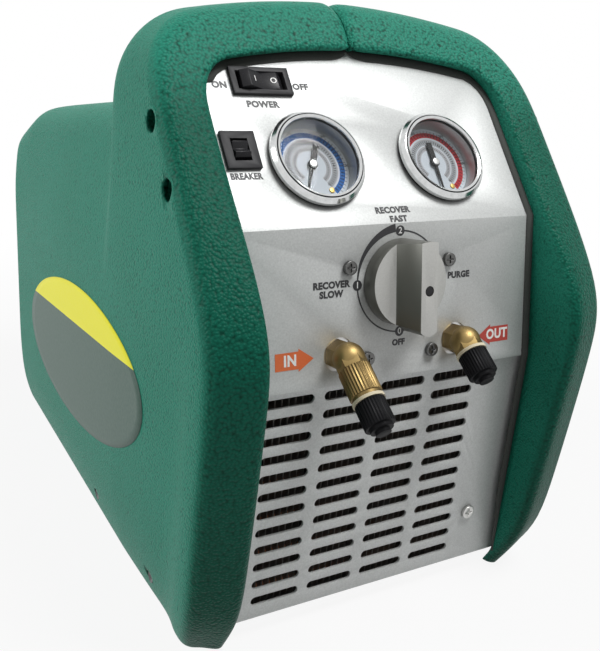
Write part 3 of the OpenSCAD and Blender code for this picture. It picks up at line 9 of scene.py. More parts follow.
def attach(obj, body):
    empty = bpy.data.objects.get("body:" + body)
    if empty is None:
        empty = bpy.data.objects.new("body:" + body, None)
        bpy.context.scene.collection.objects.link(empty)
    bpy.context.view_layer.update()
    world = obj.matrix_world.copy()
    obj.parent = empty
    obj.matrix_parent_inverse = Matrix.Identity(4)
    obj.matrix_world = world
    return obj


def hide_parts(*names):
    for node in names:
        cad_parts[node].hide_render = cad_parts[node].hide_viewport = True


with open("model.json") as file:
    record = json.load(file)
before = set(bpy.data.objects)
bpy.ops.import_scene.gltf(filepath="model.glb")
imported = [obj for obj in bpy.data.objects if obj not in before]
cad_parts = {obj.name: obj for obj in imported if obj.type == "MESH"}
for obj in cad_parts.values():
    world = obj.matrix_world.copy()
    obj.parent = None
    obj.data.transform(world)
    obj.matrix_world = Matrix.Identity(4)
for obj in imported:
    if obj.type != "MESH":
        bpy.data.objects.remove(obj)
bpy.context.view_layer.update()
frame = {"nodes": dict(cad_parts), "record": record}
nodes = frame["nodes"]

# Studio: the photograph's camera, a white floor that keeps a soft shadow, and a white room.
# One lamp stands above the front of the machine and a larger one high at its left.
MM = 0.001
CAMERA_PLACE = Vector((-261.0, -488.9, 320.6)) * MM
CAMERA_RIGHT = Vector((0.869, -0.489, 0.077))
CAMERA_DOWN = Vector((-0.106, -0.335, -0.936))
LENS = 47.70
SENSOR = 36.0
lens_data = bpy.data.cameras.new("camera")
lens_data.lens = LENS
lens_data.sensor_width = SENSOR
camera = bpy.data.objects.new("camera", lens_data)
bpy.context.scene.collection.objects.link(camera)
right = CAMERA_RIGHT.normalized()
back = right.cross(-CAMERA_DOWN).normalized()
up = back.cross(right)
camera.matrix_world = Matrix.Translation(CAMERA_PLACE) @ Matrix((right, up, back)).transposed().to_4x4()
bpy.context.scene.camera = camera
bpy.context.scene.view_settings.view_transform = "Standard"


class Wire:
    """A shader value: sums, products and comparisons of wires add their Math nodes."""

    def __init__(self, tree, socket):
        self.tree = tree
        self.socket = socket

    def math(self, operation, *values):
        node = self.tree.nodes.new("ShaderNodeMath")
        node.operation = operation
        for slot, value in zip(node.inputs, values):
            plug(self.tree, slot, value)
        return Wire(self.tree, node.outputs[0])

    def clamped(self):
        return self.math("MINIMUM", self.math("MAXIMUM", self, 0.0), 1.0)

    def __add__(self, other):
        return self.math("ADD", self, other)

    def __radd__(self, other):
        return self.math("ADD", other, self)

    def __sub__(self, other):
        return self.math("SUBTRACT", self, other)

    def __rsub__(self, other):
        return self.math("SUBTRACT", other, self)

    def __mul__(self, other):
        return self.math("MULTIPLY", self, other)

    def __rmul__(self, other):
        return self.math("MULTIPLY", other, self)

    def __gt__(self, other):
        return self.math("GREATER_THAN", self, other)

    def __lt__(self, other):
        return self.math("LESS_THAN", self, other)


def plug(tree, slot, value):
    if isinstance(value, Wire):
        tree.links.new(value.socket, slot)
    else:
        slot.default_value = value


def solid(colour):
    return (*colour, 1.0)


class Finish:
    """A node material with one Principled shader and the object's own coordinates."""

    def __init__(self, name, **constants):
        self.material = bpy.data.materials.new(name)
        self.material.use_nodes = True
        self.tree = self.material.node_tree
        self.shader = self.tree.nodes["Principled BSDF"]
        self.place = self.node("ShaderNodeTexCoord", output="Object")
        for socket, value in constants.items():
            self.set(socket.replace("_", " "), value)

    def node(self, kind, settings=None, output=0, **inputs):
        """Adds a node: its settings first, then its sockets by name, or by number as _0."""
        made = self.tree.nodes.new(kind)
        for key, value in (settings or {}).items():
            setattr(made, key, value)
        for key, value in inputs.items():
            socket = int(key[1:]) if key[1:].isdigit() else key.replace("_", " ")
            plug(self.tree, made.inputs[socket], value)
        return Wire(self.tree, made.outputs[output])

    def set(self, socket, value):
        plug(self.tree, self.shader.inputs[socket], value)

    def noise(self, size, detail=2.0):
        return self.node("ShaderNodeTexNoise", Vector=self.place, Scale=1 / size, Detail=detail)

    def blend(self, factor, first, second):
        return self.node("ShaderNodeMix", {"data_type": "RGBA"}, output=2, _0=factor, _6=first, _7=second)

    def mottle(self, size, first, second, detail=2.0):
        """A base colour that drifts between two shades; gives back the noise that mixes them."""
        grain = self.noise(size, detail)
        self.set("Base Color", self.blend(grain, solid(first), solid(second)))
        return grain

    def axis(self, vector, name):
        return self.node("ShaderNodeSeparateXYZ", output=name, Vector=vector)

    def facing(self, direction):
        """How far the surface looks in a direction: 1 straight along it and -1 against it."""
        normal = self.node("ShaderNodeNewGeometry", output="Normal")
        return self.node("ShaderNodeVectorMath", {"operation": "DOT_PRODUCT"}, output="Value",
                         _0=normal, _1=direction)

    def fade(self, value, start, end):
        """A smooth step from 0 at the start to 1 at the end."""
        return self.node("ShaderNodeMapRange", {"interpolation_type": "SMOOTHSTEP"}, Value=value,
                         From_Min=start, From_Max=end)

    def bump(self, height, strength, distance):
        normal = self.node("ShaderNodeBump", Height=height, Strength=strength, Distance=distance)
        self.set("Normal", normal)


def piece(name, work, material, body, smooth=True):
    """Turns a bmesh into a piece that moves with a body and takes the given finish."""
    mesh = bpy.data.meshes.new(name)
    work.to_mesh(mesh)
    work.free()
    made = bpy.data.objects.new(name, mesh)
    bpy.context.scene.collection.objects.link(made)
    mesh.materials.append(material)
    for face in mesh.polygons:
        face.use_smooth = smooth
    if body:
        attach(made, body)
    return made


WHITE = (1.0, 1.0, 1.0, 1.0)
BACKGROUND_RAYS = ("Is Camera Ray", "Is Glossy Ray", "Is Transmission Ray")


def seen_directly(tree):
    """1 for rays from the camera, off metal and through glass, which see the white background."""
    rays = tree.nodes.new("ShaderNodeLightPath")
    seen, glossy, through = [Wire(tree, rays.outputs[kind]) for kind in BACKGROUND_RAYS]
    return (seen + glossy + through).clamped()


FLOOR_HALF = 6.0
FLOOR_WHITE = (0.6, 0.6, 0.6)
FLOOR_GLOW = 0.9
SHADOW_REACH, WHITE_FROM = 0.26, 0.7
floor_finish = Finish("floor_white", Base_Color=solid(FLOOR_WHITE), Roughness=0.9)
glow = floor_finish.node("ShaderNodeEmission", Color=WHITE, Strength=1.0)
shaded = Wire(floor_finish.tree, floor_finish.shader.outputs[0])
distance = floor_finish.node("ShaderNodeVectorMath", {"operation": "LENGTH"}, output="Value",
                             _0=floor_finish.place)
far = floor_finish.fade(distance, SHADOW_REACH, WHITE_FROM)
whiteness = seen_directly(floor_finish.tree) * (FLOOR_GLOW + (1 - FLOOR_GLOW) * far)
mixed = floor_finish.node("ShaderNodeMixShader", _0=whiteness, _1=shaded, _2=glow)
floor_finish.tree.links.new(mixed.socket, floor_finish.tree.nodes["Material Output"].inputs["Surface"])
work = bmesh.new()
bmesh.ops.create_grid(work, x_segments=2, y_segments=2, size=FLOOR_HALF)
piece("floor", work, floor_finish.material, None, smooth=False)

ROOM_LIGHT = 0.15
world = bpy.data.worlds.new("studio")
bpy.context.scene.world = world
world.use_nodes = True
room = world.node_tree.nodes["Background"]
brightness = ROOM_LIGHT + (1 - ROOM_LIGHT) * seen_directly(world.node_tree)
plug(world.node_tree, room.inputs["Strength"], brightness)
room.inputs["Color"].default_value = WHITE


def lamp(name, place, aim, size, power):
    data = bpy.data.lights.new(name, "AREA")
    data.shape = "DISK"
    data.size = size
    data.energy = power
    made = bpy.data.objects.new(name, data)
    bpy.context.scene.collection.objects.link(made)
    made.location = place
    made.rotation_euler = (Vector(aim) - Vector(place)).to_track_quat("-Z", "Y").to_euler()


lamp("key", place=(0.28, -0.45, 1.2), aim=(0, -0.05, 0.15), size=0.5, power=11.5)
lamp("left", place=(-1.5, 0.3, 0.9), aim=(0, 0, 0.15), size=1.0, power=17)

# Shell halves: two injection-moulded plastic halves, screwed together at the middle of the carry
# bar. Each is one sheet whose rails run up the side, round the corner and along the top.
SHELL_W, SHELL_H, SHELL_T = 120.0, 325.0, 3.0
REAR_Y, HOOP_BACK, RIM_Z = 203.5, -43.5, 1.0
NOSE_Y, NOSE_Z, UNDERCUT, NOSE_SOFT = -188.7, 184.6, math.radians(6.2), 8.0
FOOT_Y, FOOT_LEAN, FOOT_SOFT = -152.5, math.radians(31), 1.0
HOOP_CORNER, HOOP_CROWN, HOOP_LEAN_FROM, HOOP_LEAN = 40.0, 7.0, 190.0, 0.0002
OUTER_ROUND, INNER_ROUND, INNER_LIP, BACK_ROUND = 9.0, 6.0, 1.0, 10.0
HOOP_CREST, CREST_FADE = 5.5, 30.0
LOWER_DRAFT, DRAFT_H = 8.0, 45.0
GROOVE, GROOVE_FADE_H, GROOVE_FROM, GROOVE_RUN, GROOVE_DEEPEST = 2.5, 60.0, 0.1, 0.12, 0.3
OPEN_HALF, OPEN_H, OPEN_CROWN, OPEN_CORNER = 91.0, 295.5, 6.0, 20.0
BODY_TOP, BODY_CROWN, BODY_CORNER, TOP_SOFT = 271.0, 2.0, 20.0, 1.5
TOP_SLOPE, TOP_RUN, BEVEL_SLOPE = math.radians(8.5), 195.0, math.radians(27)
REAR_ROUND, REAR_RIM, SHOULDER_FROM, SHOULDER_LEAN = 18.0, 6.0, 180.0, 0.0009
POCKET_HALF, POCKET_DEPTH, POCKET_ROUND, POCKET_LIFT, POCKET_EDGE = 74.0, 25.0, 9.0, 0.1, 7.0
BAR_H = 26.0
SEAM_ROUND, SEAM_REACH, SEAM_GAP = 3.0, 7.0, 0.05
LOWER_Y, STEP_OUT, STEP_Z = -155.1, 3.5, 145.0
MID_LEAN, MID_LEN, TOP_LEAN, PANEL_LAP = math.radians(10.3), 79.6, math.radians(40.5), 0.1
MID_Y = LOWER_Y - STEP_OUT
CREASE_Y = MID_Y + MID_LEN * math.sin(MID_LEAN)
CREASE_Z = STEP_Z + MID_LEN * math.cos(MID_LEAN)


def soft_max(a, b, k):
    return (a + b) / 2 + math.hypot((a - b) / 2, k)


def mix(a, b, k):
    return a + (b - a) * k


def ease(k):
    k = min(1.0, max(0.0, k))
    return k * k * (3 - 2 * k)


def panel_y(z):
    if z < STEP_Z:
        return MID_Y
    if z < CREASE_Z:
        return MID_Y + (z - STEP_Z) * math.tan(MID_LEAN)
    return CREASE_Y + (z - CREASE_Z) * math.tan(TOP_LEAN)


def front_y(z):
    below = NOSE_Y + (NOSE_Z - z) * math.tan(UNDERCUT)
    above = NOSE_Y + (z - NOSE_Z) * math.tan(TOP_LEAN)
    foot = FOOT_Y - z * math.tan(FOOT_LEAN)
    return soft_max(soft_max(below, above, NOSE_SOFT), foot, FOOT_SOFT)


def outline(s, w, h, r, crown):
    """A rail's X and Z: leg for s from 0 to 1, corner to 2 and top to 3."""
    if s <= 1:
        return Vector((-w, 0, mix(RIM_Z, h - r, s)))
    if s <= 2:
        turn = math.radians(90 * (s - 1))
        return Vector((-w + r * (1 - math.cos(turn)), 0, h - r * (1 - math.sin(turn))))
    return Vector((-(w - r) * (3 - s), 0, h + crown * (1 - (3 - s) ** 2)))


def drawn_in(p, lean_from, lean):
    low = max(0.0, 1 - p.z / DRAFT_H)
    high = max(0.0, p.z - lean_from)
    p.x *= 1 - LOWER_DRAFT / SHELL_W * low * low - lean * high
    return p


def at_y(p, y):
    return Vector((p.x, y, p.z))


def hoop_rail(s, inset):
    p = outline(s, SHELL_W - inset, SHELL_H - HOOP_CROWN - inset, HOOP_CORNER - inset, HOOP_CROWN)
    return drawn_in(p, HOOP_LEAN_FROM, HOOP_LEAN)


def inner_rail(s, out):
    return outline(s, OPEN_HALF + out, OPEN_H + out, OPEN_CORNER + out, OPEN_CROWN)


def body_rail(s, top, inset):
    p = outline(s, SHELL_W - inset, top - inset, BODY_CORNER, BODY_CROWN)
    return drawn_in(p, SHOULDER_FROM, SHOULDER_LEAN)


def crest(z):
    return HOOP_CREST * ease((CREASE_Z + CREST_FADE - z) / (2 * CREST_FADE))


BEVEL_Y = HOOP_BACK + TOP_RUN


def top_at(y):
    slope = BODY_TOP - (y - HOOP_BACK) * math.tan(TOP_SLOPE)
    bevel = BODY_TOP - TOP_RUN * math.tan(TOP_SLOPE) - (y - BEVEL_Y) * math.tan(BEVEL_SLOPE)
    return -soft_max(-slope, -bevel, TOP_SOFT)


POCKET_FRONT = HOOP_BACK - POCKET_DEPTH
BAR_UNDER = SHELL_H - BAR_H
POCKET_CHORD = 0.3 * POCKET_ROUND
POCKET = [
    (HOOP_BACK, BAR_UNDER + POCKET_ROUND), (HOOP_BACK - POCKET_CHORD, BAR_UNDER + POCKET_CHORD),
    (HOOP_BACK - POCKET_ROUND, BAR_UNDER), (POCKET_FRONT + POCKET_ROUND, BAR_UNDER),
    (POCKET_FRONT + POCKET_CHORD, BAR_UNDER - POCKET_CHORD), (POCKET_FRONT, BAR_UNDER - POCKET_ROUND),
    (POCKET_FRONT, BODY_TOP + POCKET_ROUND), (POCKET_FRONT + POCKET_CHORD, BODY_TOP + POCKET_CHORD),
    (POCKET_FRONT + POCKET_ROUND, BODY_TOP + POCKET_LIFT),
]
HOOP_END = HOOP_BACK - BACK_ROUND
DROP_FROM, DROP_TO = 0.18, 0.95
DROP_SPREAD, SPREAD_FROM, SPREAD_RUN = 9.0, 0.9, 0.7


def drop_rail(s, k, y):
    """A rail on the way down from the hoop to the lower body behind it."""
    return at_y(mix(hoop_rail(s, 0), body_rail(s, BODY_TOP, 0), k), y)


def pocket_rail(s, i):
    """The drop at the sides, which opens into the finger pocket under the carry bar."""
    t = (i + 1) / (len(POCKET) + 1)
    spread = DROP_SPREAD * (1 - ease((s - SPREAD_FROM) / SPREAD_RUN))
    closed = drop_rail(s, mix(DROP_FROM, DROP_TO, t), HOOP_BACK + spread * t)
    opened = Vector((closed.x, *POCKET[i]))
    return mix(closed, opened, ease((POCKET_HALF + closed.x) / POCKET_EDGE))


def side_rail(s, t):
    """The hoop's side from front to back, with the shallow groove in its lower part."""
    p = hoop_rail(s, 0)
    fade = ease((t - GROOVE_FROM) / GROOVE_RUN) if t < GROOVE_DEEPEST else 1 - t
    p.x += GROOVE * ease((HOOP_LEAN_FROM - p.z) / GROOVE_FADE_H) * fade
    return at_y(p, mix(front_y(p.z) + OUTER_ROUND, HOOP_END, t))


def rear_rail(s, turn):
    inset = REAR_ROUND * (1 - math.cos(turn))
    y = REAR_Y - REAR_ROUND * (1 - math.sin(turn))
    return at_y(body_rail(s, top_at(REAR_Y - REAR_ROUND), inset), y)


ROUND_STEPS = [math.radians(a) for a in (0, 30, 60, 90)]
SIDE_STEPS = (0.06, 0.12, 0.24, 0.5, 0.8, 1)
BODY_STEPS = (0.08, 0.3, 0.6, 0.85, 0.97, 1)
BEVEL_STEPS = (0.12, 0.5, 0.9)
REAR_RUN = REAR_Y - REAR_ROUND - BEVEL_Y


def sheet_row(s):
    """The points of one step of the rails, from the opening's edge round to the rear rim."""
    edge = inner_rail(s, 0)
    inside = front_y(edge.z) - crest(edge.z) + INNER_ROUND + INNER_LIP
    row = [at_y(edge, max(panel_y(edge.z) - PANEL_LAP, inside))]
    for a in ROUND_STEPS:
        p = inner_rail(s, INNER_ROUND * (1 - math.cos(a)))
        row.append(at_y(p, front_y(p.z) + INNER_ROUND * (1 - math.sin(a)) - crest(p.z)))
    for a in ROUND_STEPS:
        p = hoop_rail(s, OUTER_ROUND * (1 - math.sin(a)))
        row.append(at_y(p, front_y(p.z) + OUTER_ROUND * (1 - math.cos(a))))
    row += [side_rail(s, t) for t in SIDE_STEPS]
    for a in ROUND_STEPS[1:]:
        row.append(drop_rail(s, DROP_FROM * (1 - math.cos(a)), HOOP_END + BACK_ROUND * math.sin(a)))
    row += [pocket_rail(s, i) for i in range(len(POCKET))]
    for y in [mix(HOOP_BACK, BEVEL_Y, t) for t in BODY_STEPS] + [BEVEL_Y + REAR_RUN * t for t in BEVEL_STEPS]:
        row.append(at_y(body_rail(s, top_at(y), 0), y))
    row += [rear_rail(s, a) for a in ROUND_STEPS]
    row.append(at_y(body_rail(s, top_at(REAR_Y - REAR_ROUND), REAR_ROUND + REAR_RIM), REAR_Y))
    return row


LEG_STEPS = [0, 0.02, 0.05, 0.12, 0.25, 0.38, 0.48, 0.54, 0.58, 0.62, 0.68, 0.77, 0.88, 0.96]
CORNER_STEPS = [1, 1.2, 1.4, 1.6, 1.8]
TOP_STEPS = [2, 2.03, 2.06, 2.1, 2.3, 2.5, 2.7, 2.86, 2.91, 2.95, 2.98, 3]
COLUMNS = LEG_STEPS + CORNER_STEPS + TOP_STEPS

WELL_U = (24.4, 60.5)
WELL_DEPTH, WELL_R, WELL_CUT = 3.5, 5.5, 20.0
BASE_SCREW_Y, BASE_SCREW_Z, BASE_RECESS, BASE_HEAD_R = (-105.0, -10.0), 16.0, 1.6, 3.8
SIDEWAYS = Matrix.Rotation(math.pi / 2, 4, "Y")


def sloped_place(origin, lean, local):
    turn = Matrix.Rotation(math.pi / 2 - lean, 4, "X")
    return Matrix.Translation(Vector(origin) * MM) @ turn @ Matrix.Translation(Vector(local) * MM)


def top_place(x, u, out):
    """A place on the upper panel: local X to the right, Y up the slope and Z out of the face."""
    return sloped_place((0, CREASE_Y, CREASE_Z), TOP_LEAN, (x, u, out))


def mid_place(x, u, out):
    """A place on the middle panel, in the same way."""
    return sloped_place((0, MID_Y, STEP_Z), MID_LEAN, (x, u, out))


def sheet_through(rows):
    """A grid through rows of points in millimetres."""
    count = len(rows[0])
    work = bmesh.new()
    bmesh.ops.create_grid(work, x_segments=len(rows) - 1, y_segments=count - 1, size=1)
    ordered = sorted(work.verts, key=lambda v: (round(v.co.x, 4), round(v.co.y, 4)))
    for index, vert in enumerate(ordered):
        vert.co = rows[index // count][index % count]
    return work


def turned_to(work, direction, judged=None):
    """Turns a sheet's faces over if most of the judged ones look away from a direction."""
    work.normal_update()
    if sum(face.normal.dot(Vector(direction)) for face in judged or work.faces) < 0:
        bmesh.ops.reverse_faces(work, faces=work.faces)
        work.normal_update()


def rod(work, radius, length, place, segments=40):
    """Adds a round bar that lies along the Z of a place, with its middle there."""
    bmesh.ops.create_cone(work, cap_ends=True, segments=segments, radius1=radius * MM, radius2=radius * MM,
                          depth=length * MM, matrix=place)


def thickened(made, thickness, offset):
    """Gives a sheet its thickness: on the outer side for an offset of 1, on the inner for -1."""
    wall = made.modifiers.new("thickness", "SOLIDIFY")
    wall.thickness = thickness
    wall.offset = offset


def baked(made):
    """Replaces an object's mesh by what its modifiers make of it."""
    bpy.context.view_layer.update()
    shown = made.evaluated_get(bpy.context.evaluated_depsgraph_get())
    mesh = bpy.data.meshes.new_from_object(shown)
    made.modifiers.clear()
    made.data = mesh


GREEN = (0.012, 0.2, 0.13)
GREEN_WORN_AND_LIT = (0.024, 0.24, 0.165)
GREEN_FRONT_SHADED = (0.005, 0.115, 0.073)
GREEN_LOW_SHADE = (0.002, 0.06, 0.036)
GREEN_PIT_SHADE = (0.001, 0.04, 0.024)
BAR_HIGHLIGHT_FROM, BAR_HIGHLIGHT_TO = 262.0 * MM, 305.0 * MM
LOW_SHADE_FROM, LOW_SHADE_TO, LOW_SHADE_SHARE = 170.0 * MM, 10.0 * MM, 0.8
PATCH, PEBBLE, LEATHER, GRAIN = 60.0 * MM, 1.45 * MM, 1.1 * MM, 0.6 * MM
FRONT_GAIN, PIT_SHADE, PIT_SHADE_FRONT = 1.6, 0.7, 0.5
green = Finish("moulded_green", Specular_IOR_Level=0.09)


def cells(size, smoothness):
    return green.node("ShaderNodeTexVoronoi", {"feature": "SMOOTH_F1"}, output="Distance",
                      Vector=green.place, Scale=1 / size, Smoothness=smoothness)


patches = green.noise(PATCH, 4)
grain = green.noise(GRAIN, 3)
front = (FRONT_GAIN * green.facing((0, -1, 0))).clamped()
hollow = front * cells(PEBBLE, 0.5) + (1 - front) * cells(LEATHER, 0.4)
height = green.axis(green.place, "Z")
# Front faces turn paler up the carry bar: a painted highlight. The same paler green also gives the random
# worn patches.
face = green.blend(green.fade(height, BAR_HIGHLIGHT_FROM, BAR_HIGHLIGHT_TO), solid(GREEN_FRONT_SHADED), solid(GREEN_WORN_AND_LIT))
# Front faces darken downwards from 170 mm towards the foot: painted shade.
face = green.blend(LOW_SHADE_SHARE * green.fade(height, LOW_SHADE_FROM, LOW_SHADE_TO), face, solid(GREEN_LOW_SHADE))
# Surfaces facing the front take the darker front green: painted shade.
tint = green.blend(front, green.blend(patches, solid(GREEN), solid(GREEN_WORN_AND_LIT)), face)
# The hollows of the grain are darkened, more on the front faces: painted shade.
pit_shade = (hollow * hollow * (PIT_SHADE + PIT_SHADE_FRONT * front)).clamped()
green.set("Base Color", green.blend(pit_shade, tint, solid(GREEN_PIT_SHADE)))
green.set("Roughness", 0.36 + 0.16 * grain)
green.bump(1 - hollow + 0.2 * grain, 0.9, 0.55 * MM)

SIDE_BAND = 2.0
base_seats = []


def shell_skin(name, side, node):
    """One half as a smooth sheet with its thickness, and the screw wells cut through its side."""
    work = sheet_through([sheet_row(s) for s in COLUMNS])
    flank = [face for face in work.faces if face.calc_center_median().x < SIDE_BAND - SHELL_W]
    turned_to(work, (-1, 0, 0), flank)
    for vert in work.verts:
        near = max(0.0, 1 + vert.co.x / SEAM_REACH)
        fade = ease((REAR_Y - vert.co.y) / REAR_ROUND)
        vert.co -= vert.normal * SEAM_ROUND * near * near * fade
        vert.co.x = min(vert.co.x, -SEAM_GAP)
    bmesh.ops.scale(work, verts=work.verts, vec=(side * MM, MM, MM))
    if side == -1:
        bmesh.ops.reverse_faces(work, faces=work.faces)
    made = piece(name, work, green.material, "machine")
    smooth = made.modifiers.new("smooth", "SUBSURF")
    smooth.levels = smooth.render_levels = 2
    thickened(made, SHELL_T * MM, -1)
    baked(made)
    surface = BVHTree.FromObject(made, bpy.context.evaluated_depsgraph_get())
    cutters = bmesh.new()
    for u in WELL_U:
        reach = Matrix.Translation((0, 0, -side * SHELL_W * MM))
        rod(cutters, WELL_R, WELL_CUT, top_place(0, u, -WELL_DEPTH) @ SIDEWAYS @ reach)
    for y in BASE_SCREW_Y:
        outside = Vector((-side * 2 * SHELL_W, y, BASE_SCREW_Z)) * MM
        seat = surface.ray_cast(outside, Vector((side, 0, 0)))[0]
        base_seats.append(seat)
        rod(cutters, BASE_HEAD_R, 2 * BASE_RECESS, Matrix.Translation(seat) @ SIDEWAYS, segments=32)
    tool = piece(name + "_cutter", cutters, green.material, None)
    cut = made.modifiers.new("wells", "BOOLEAN")
    cut.object = tool
    cut.operation = "DIFFERENCE"
    cut.solver = "EXACT"
    baked(made)
    bpy.data.objects.remove(tool)
    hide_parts(node)
    return made


left_skin = shell_skin("left_skin", 1, "left_shell")
shell_skin("right_skin", -1, "right_shell")

# Well bosses: hollow posts moulded on the inside of each half, behind the holes in the hoop's side.
# Each ends in a floor, which its screw clamps to the flange of the front panel.
BOSS_FROM, BOSS_TO, BOSS_WALL, BOSS_HOLE_R = 99.0, 118.0, 1.5, 2.2
BOSS_PROFILE = [
    (BOSS_HOLE_R, 0), (WELL_R + BOSS_WALL, 0), (WELL_R + BOSS_WALL, BOSS_TO - BOSS_FROM),
    (WELL_R, BOSS_TO - BOSS_FROM), (WELL_R, SHELL_T), (BOSS_HOLE_R, SHELL_T),
]
TURNED_SHARP = math.radians(40)


def well_boss(name, side, u):
    """One post, turned round its axis from half of its section."""
    work = bmesh.new()
    verts = [work.verts.new((r * MM, 0, h * MM)) for r, h in BOSS_PROFILE]
    edges = [work.edges.new(pair) for pair in zip(verts, verts[1:] + verts[:1])]
    bmesh.ops.spin(work, geom=verts + edges, cent=(0, 0, 0), axis=(0, 0, 1), angle=2 * math.pi, steps=40,
                   use_merge=True)
    bmesh.ops.recalc_face_normals(work, faces=work.faces)
    outward = Matrix.Rotation(-side * math.pi / 2, 4, "Y")
    place = top_place(0, u, -WELL_DEPTH) @ outward @ Matrix.Translation((0, 0, BOSS_FROM * MM))
    bmesh.ops.transform(work, matrix=place, verts=work.verts)
    made = piece(name, work, green.material, "machine")
    made.data.set_sharp_from_angle(angle=TURNED_SHARP)


for index, u in enumerate(WELL_U):
    well_boss("left_well_boss_%d" % index, 1, u)
    well_boss("right_well_boss_%d" % index, -1, u)

# Side label: a thin printed oval sticker on the left half, yellow above and dark below,
# pressed onto the moulding so that it follows its shallow curve.
LABEL_MIDDLE = Vector((0, 20.0, 102.2)) * MM
LABEL_HALF_Y, LABEL_HALF_Z, LABEL_T, LABEL_LIFT = 120.0 * MM, 47.2 * MM, 0.25 * MM, 0.05 * MM
LABEL_RISE, LABEL_RINGS, LABEL_SEGMENTS = 0.11, 14, 96
LABEL_YELLOW = (0.84, 0.8, 0.02)
LABEL_DARK = (0.06, 0.11, 0.088)
YELLOW_FROM, FLECK_SHARE = 21.4 * MM, 0.06
OUTSIDE_X = -200.0 * MM
sticker = Finish("label_print", Roughness=0.42, Specular_IOR_Level=0.12)
above = sticker.axis(sticker.place, "Z") - LABEL_MIDDLE.z
behind = sticker.axis(sticker.place, "Y") - LABEL_MIDDLE.y
upper = above + LABEL_RISE * behind > YELLOW_FROM
fleck = sticker.noise(2 * MM)
tint = sticker.blend(upper, solid(LABEL_DARK), solid(LABEL_YELLOW))
sticker.set("Base Color", sticker.blend(FLECK_SHARE * fleck, tint, WHITE))
sticker.bump(fleck, 0.05, 0.1 * MM)
work = bmesh.new()
bmesh.ops.create_circle(work, cap_ends=False, segments=LABEL_SEGMENTS, radius=1)
ring = list(work.edges)
for step in range(1, LABEL_RINGS):
    grown = bmesh.ops.extrude_edge_only(work, edges=ring)["geom"]
    ring = [g for g in grown if isinstance(g, bmesh.types.BMEdge)]
    inner = [g for g in grown if isinstance(g, bmesh.types.BMVert)]
    ratio = (LABEL_RINGS - step) / (LABEL_RINGS - step + 1)
    bmesh.ops.scale(work, verts=inner, vec=(ratio, ratio, ratio))
bmesh.ops.contextual_create(work, geom=ring)
skin_tree = BVHTree.FromObject(left_skin, bpy.context.evaluated_depsgraph_get())
for vert in work.verts:
    along, rise = vert.co.x * LABEL_HALF_Y, vert.co.y * LABEL_HALF_Z
    start = LABEL_MIDDLE + Vector((OUTSIDE_X, along, rise - LABEL_RISE * along))
    hit = skin_tree.ray_cast(start, Vector((1, 0, 0)))[0]
    vert.co = hit + Vector((-LABEL_LIFT, 0, 0))
bmesh.ops.recalc_face_normals(work, faces=work.faces)
turned_to(work, (-1, 0, 0))
thickened(piece("side_label", work, sticker.material, "machine"), LABEL_T, 1)

# Front panel: bent sheet steel with fine silver paint, punched slots and bevelled edges.
# It is the CAD sheet with its edges eased, as the paint rounds them.
BODY_OF = {node: body for body, members in frame["record"]["behaviour"]["bodies"].items() for node in members}
MERGE = 0.01 * MM
FLAT_WITHIN, EASED_FROM, EASED_SHARP = math.radians(1), math.radians(30), math.radians(35)


def eased(node, width, material):
    """A copy of a CAD node with its sharp edges rounded, which stands for that node."""
    work = bmesh.new()
    work.from_mesh(nodes[node].data)
    bmesh.ops.remove_doubles(work, verts=work.verts, dist=MERGE)
    bmesh.ops.dissolve_limit(work, angle_limit=FLAT_WITHIN, verts=work.verts, edges=work.edges)
    sharp = [edge for edge in work.edges if edge.is_manifold and edge.calc_face_angle() > EASED_FROM]
    bmesh.ops.bevel(work, geom=sharp, offset=width * MM, segments=2, profile=0.5, affect="EDGES",
                    material=-1, clamp_overlap=True)
    made = piece(node + "_eased", work, material, BODY_OF[node])
    made.data.set_sharp_from_angle(angle=EASED_SHARP)
    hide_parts(node)


SILVER = (0.60, 0.615, 0.605)
SILVER_FLECK = (0.42, 0.43, 0.425)
silver = Finish("silver_paint", Metallic=0.25)
speckle = silver.mottle(0.9 * MM, SILVER, SILVER_FLECK, 1)
clouds = silver.noise(40 * MM, 2)
silver.set("Roughness", 0.36 + 0.1 * clouds + 0.08 * speckle)
silver.bump(speckle, 0.12, 0.08 * MM)
eased("front_panel", 0.35, silver.material)

# Panel shade band: a dark strip laid on the panel along the opening's edge, painted shade in the gap between
# the panel's edge and the shell.
# It follows the opening, and each half's end is rounded off at the seam.
SHADE_BAND_W, SHADE_BAND_TUCK, SHADE_BAND_T, SHADE_BAND_END = 4.8, 1.5, 0.4 * MM, 14.0
SHADE_BAND_START, SHADE_BAND_WIDENS = 0.3, 20.0
SHADE_BAND_DARK = (0.03, 0.033, 0.03)
SHADE_BAND_PALE = (0.06, 0.064, 0.058)
shade_band_paint = Finish("painted_shade_strip", Roughness=0.9)
shade_band_paint.bump(shade_band_paint.mottle(0.8 * MM, SHADE_BAND_DARK, SHADE_BAND_PALE, 3), 0.4, 0.2 * MM)


def panel_shade_band(name, side, steps):
    """A strip along the opening's edge, from the first step of the rail to the seam."""
    rows = []
    for s in steps:
        from_seam = min(1.0, -inner_rail(s, 0).x / SHADE_BAND_END)
        taken = math.sqrt(1 - (1 - from_seam) ** 2) * ease(SHADE_BAND_START + SHADE_BAND_WIDENS * (s - steps[0]))
        edges = [inner_rail(s, out) for out in (-SHADE_BAND_W * taken, SHADE_BAND_TUCK)]
        rows.append([at_y(p, panel_y(p.z) - PANEL_LAP) for p in edges])
    work = sheet_through(rows)
    bmesh.ops.scale(work, verts=work.verts, vec=(side * MM, MM, MM))
    bmesh.ops.recalc_face_normals(work, faces=work.faces)
    turned_to(work, (0, -1, 0))
    thickened(piece(name, work, shade_band_paint.material, "machine"), SHADE_BAND_T, 1)


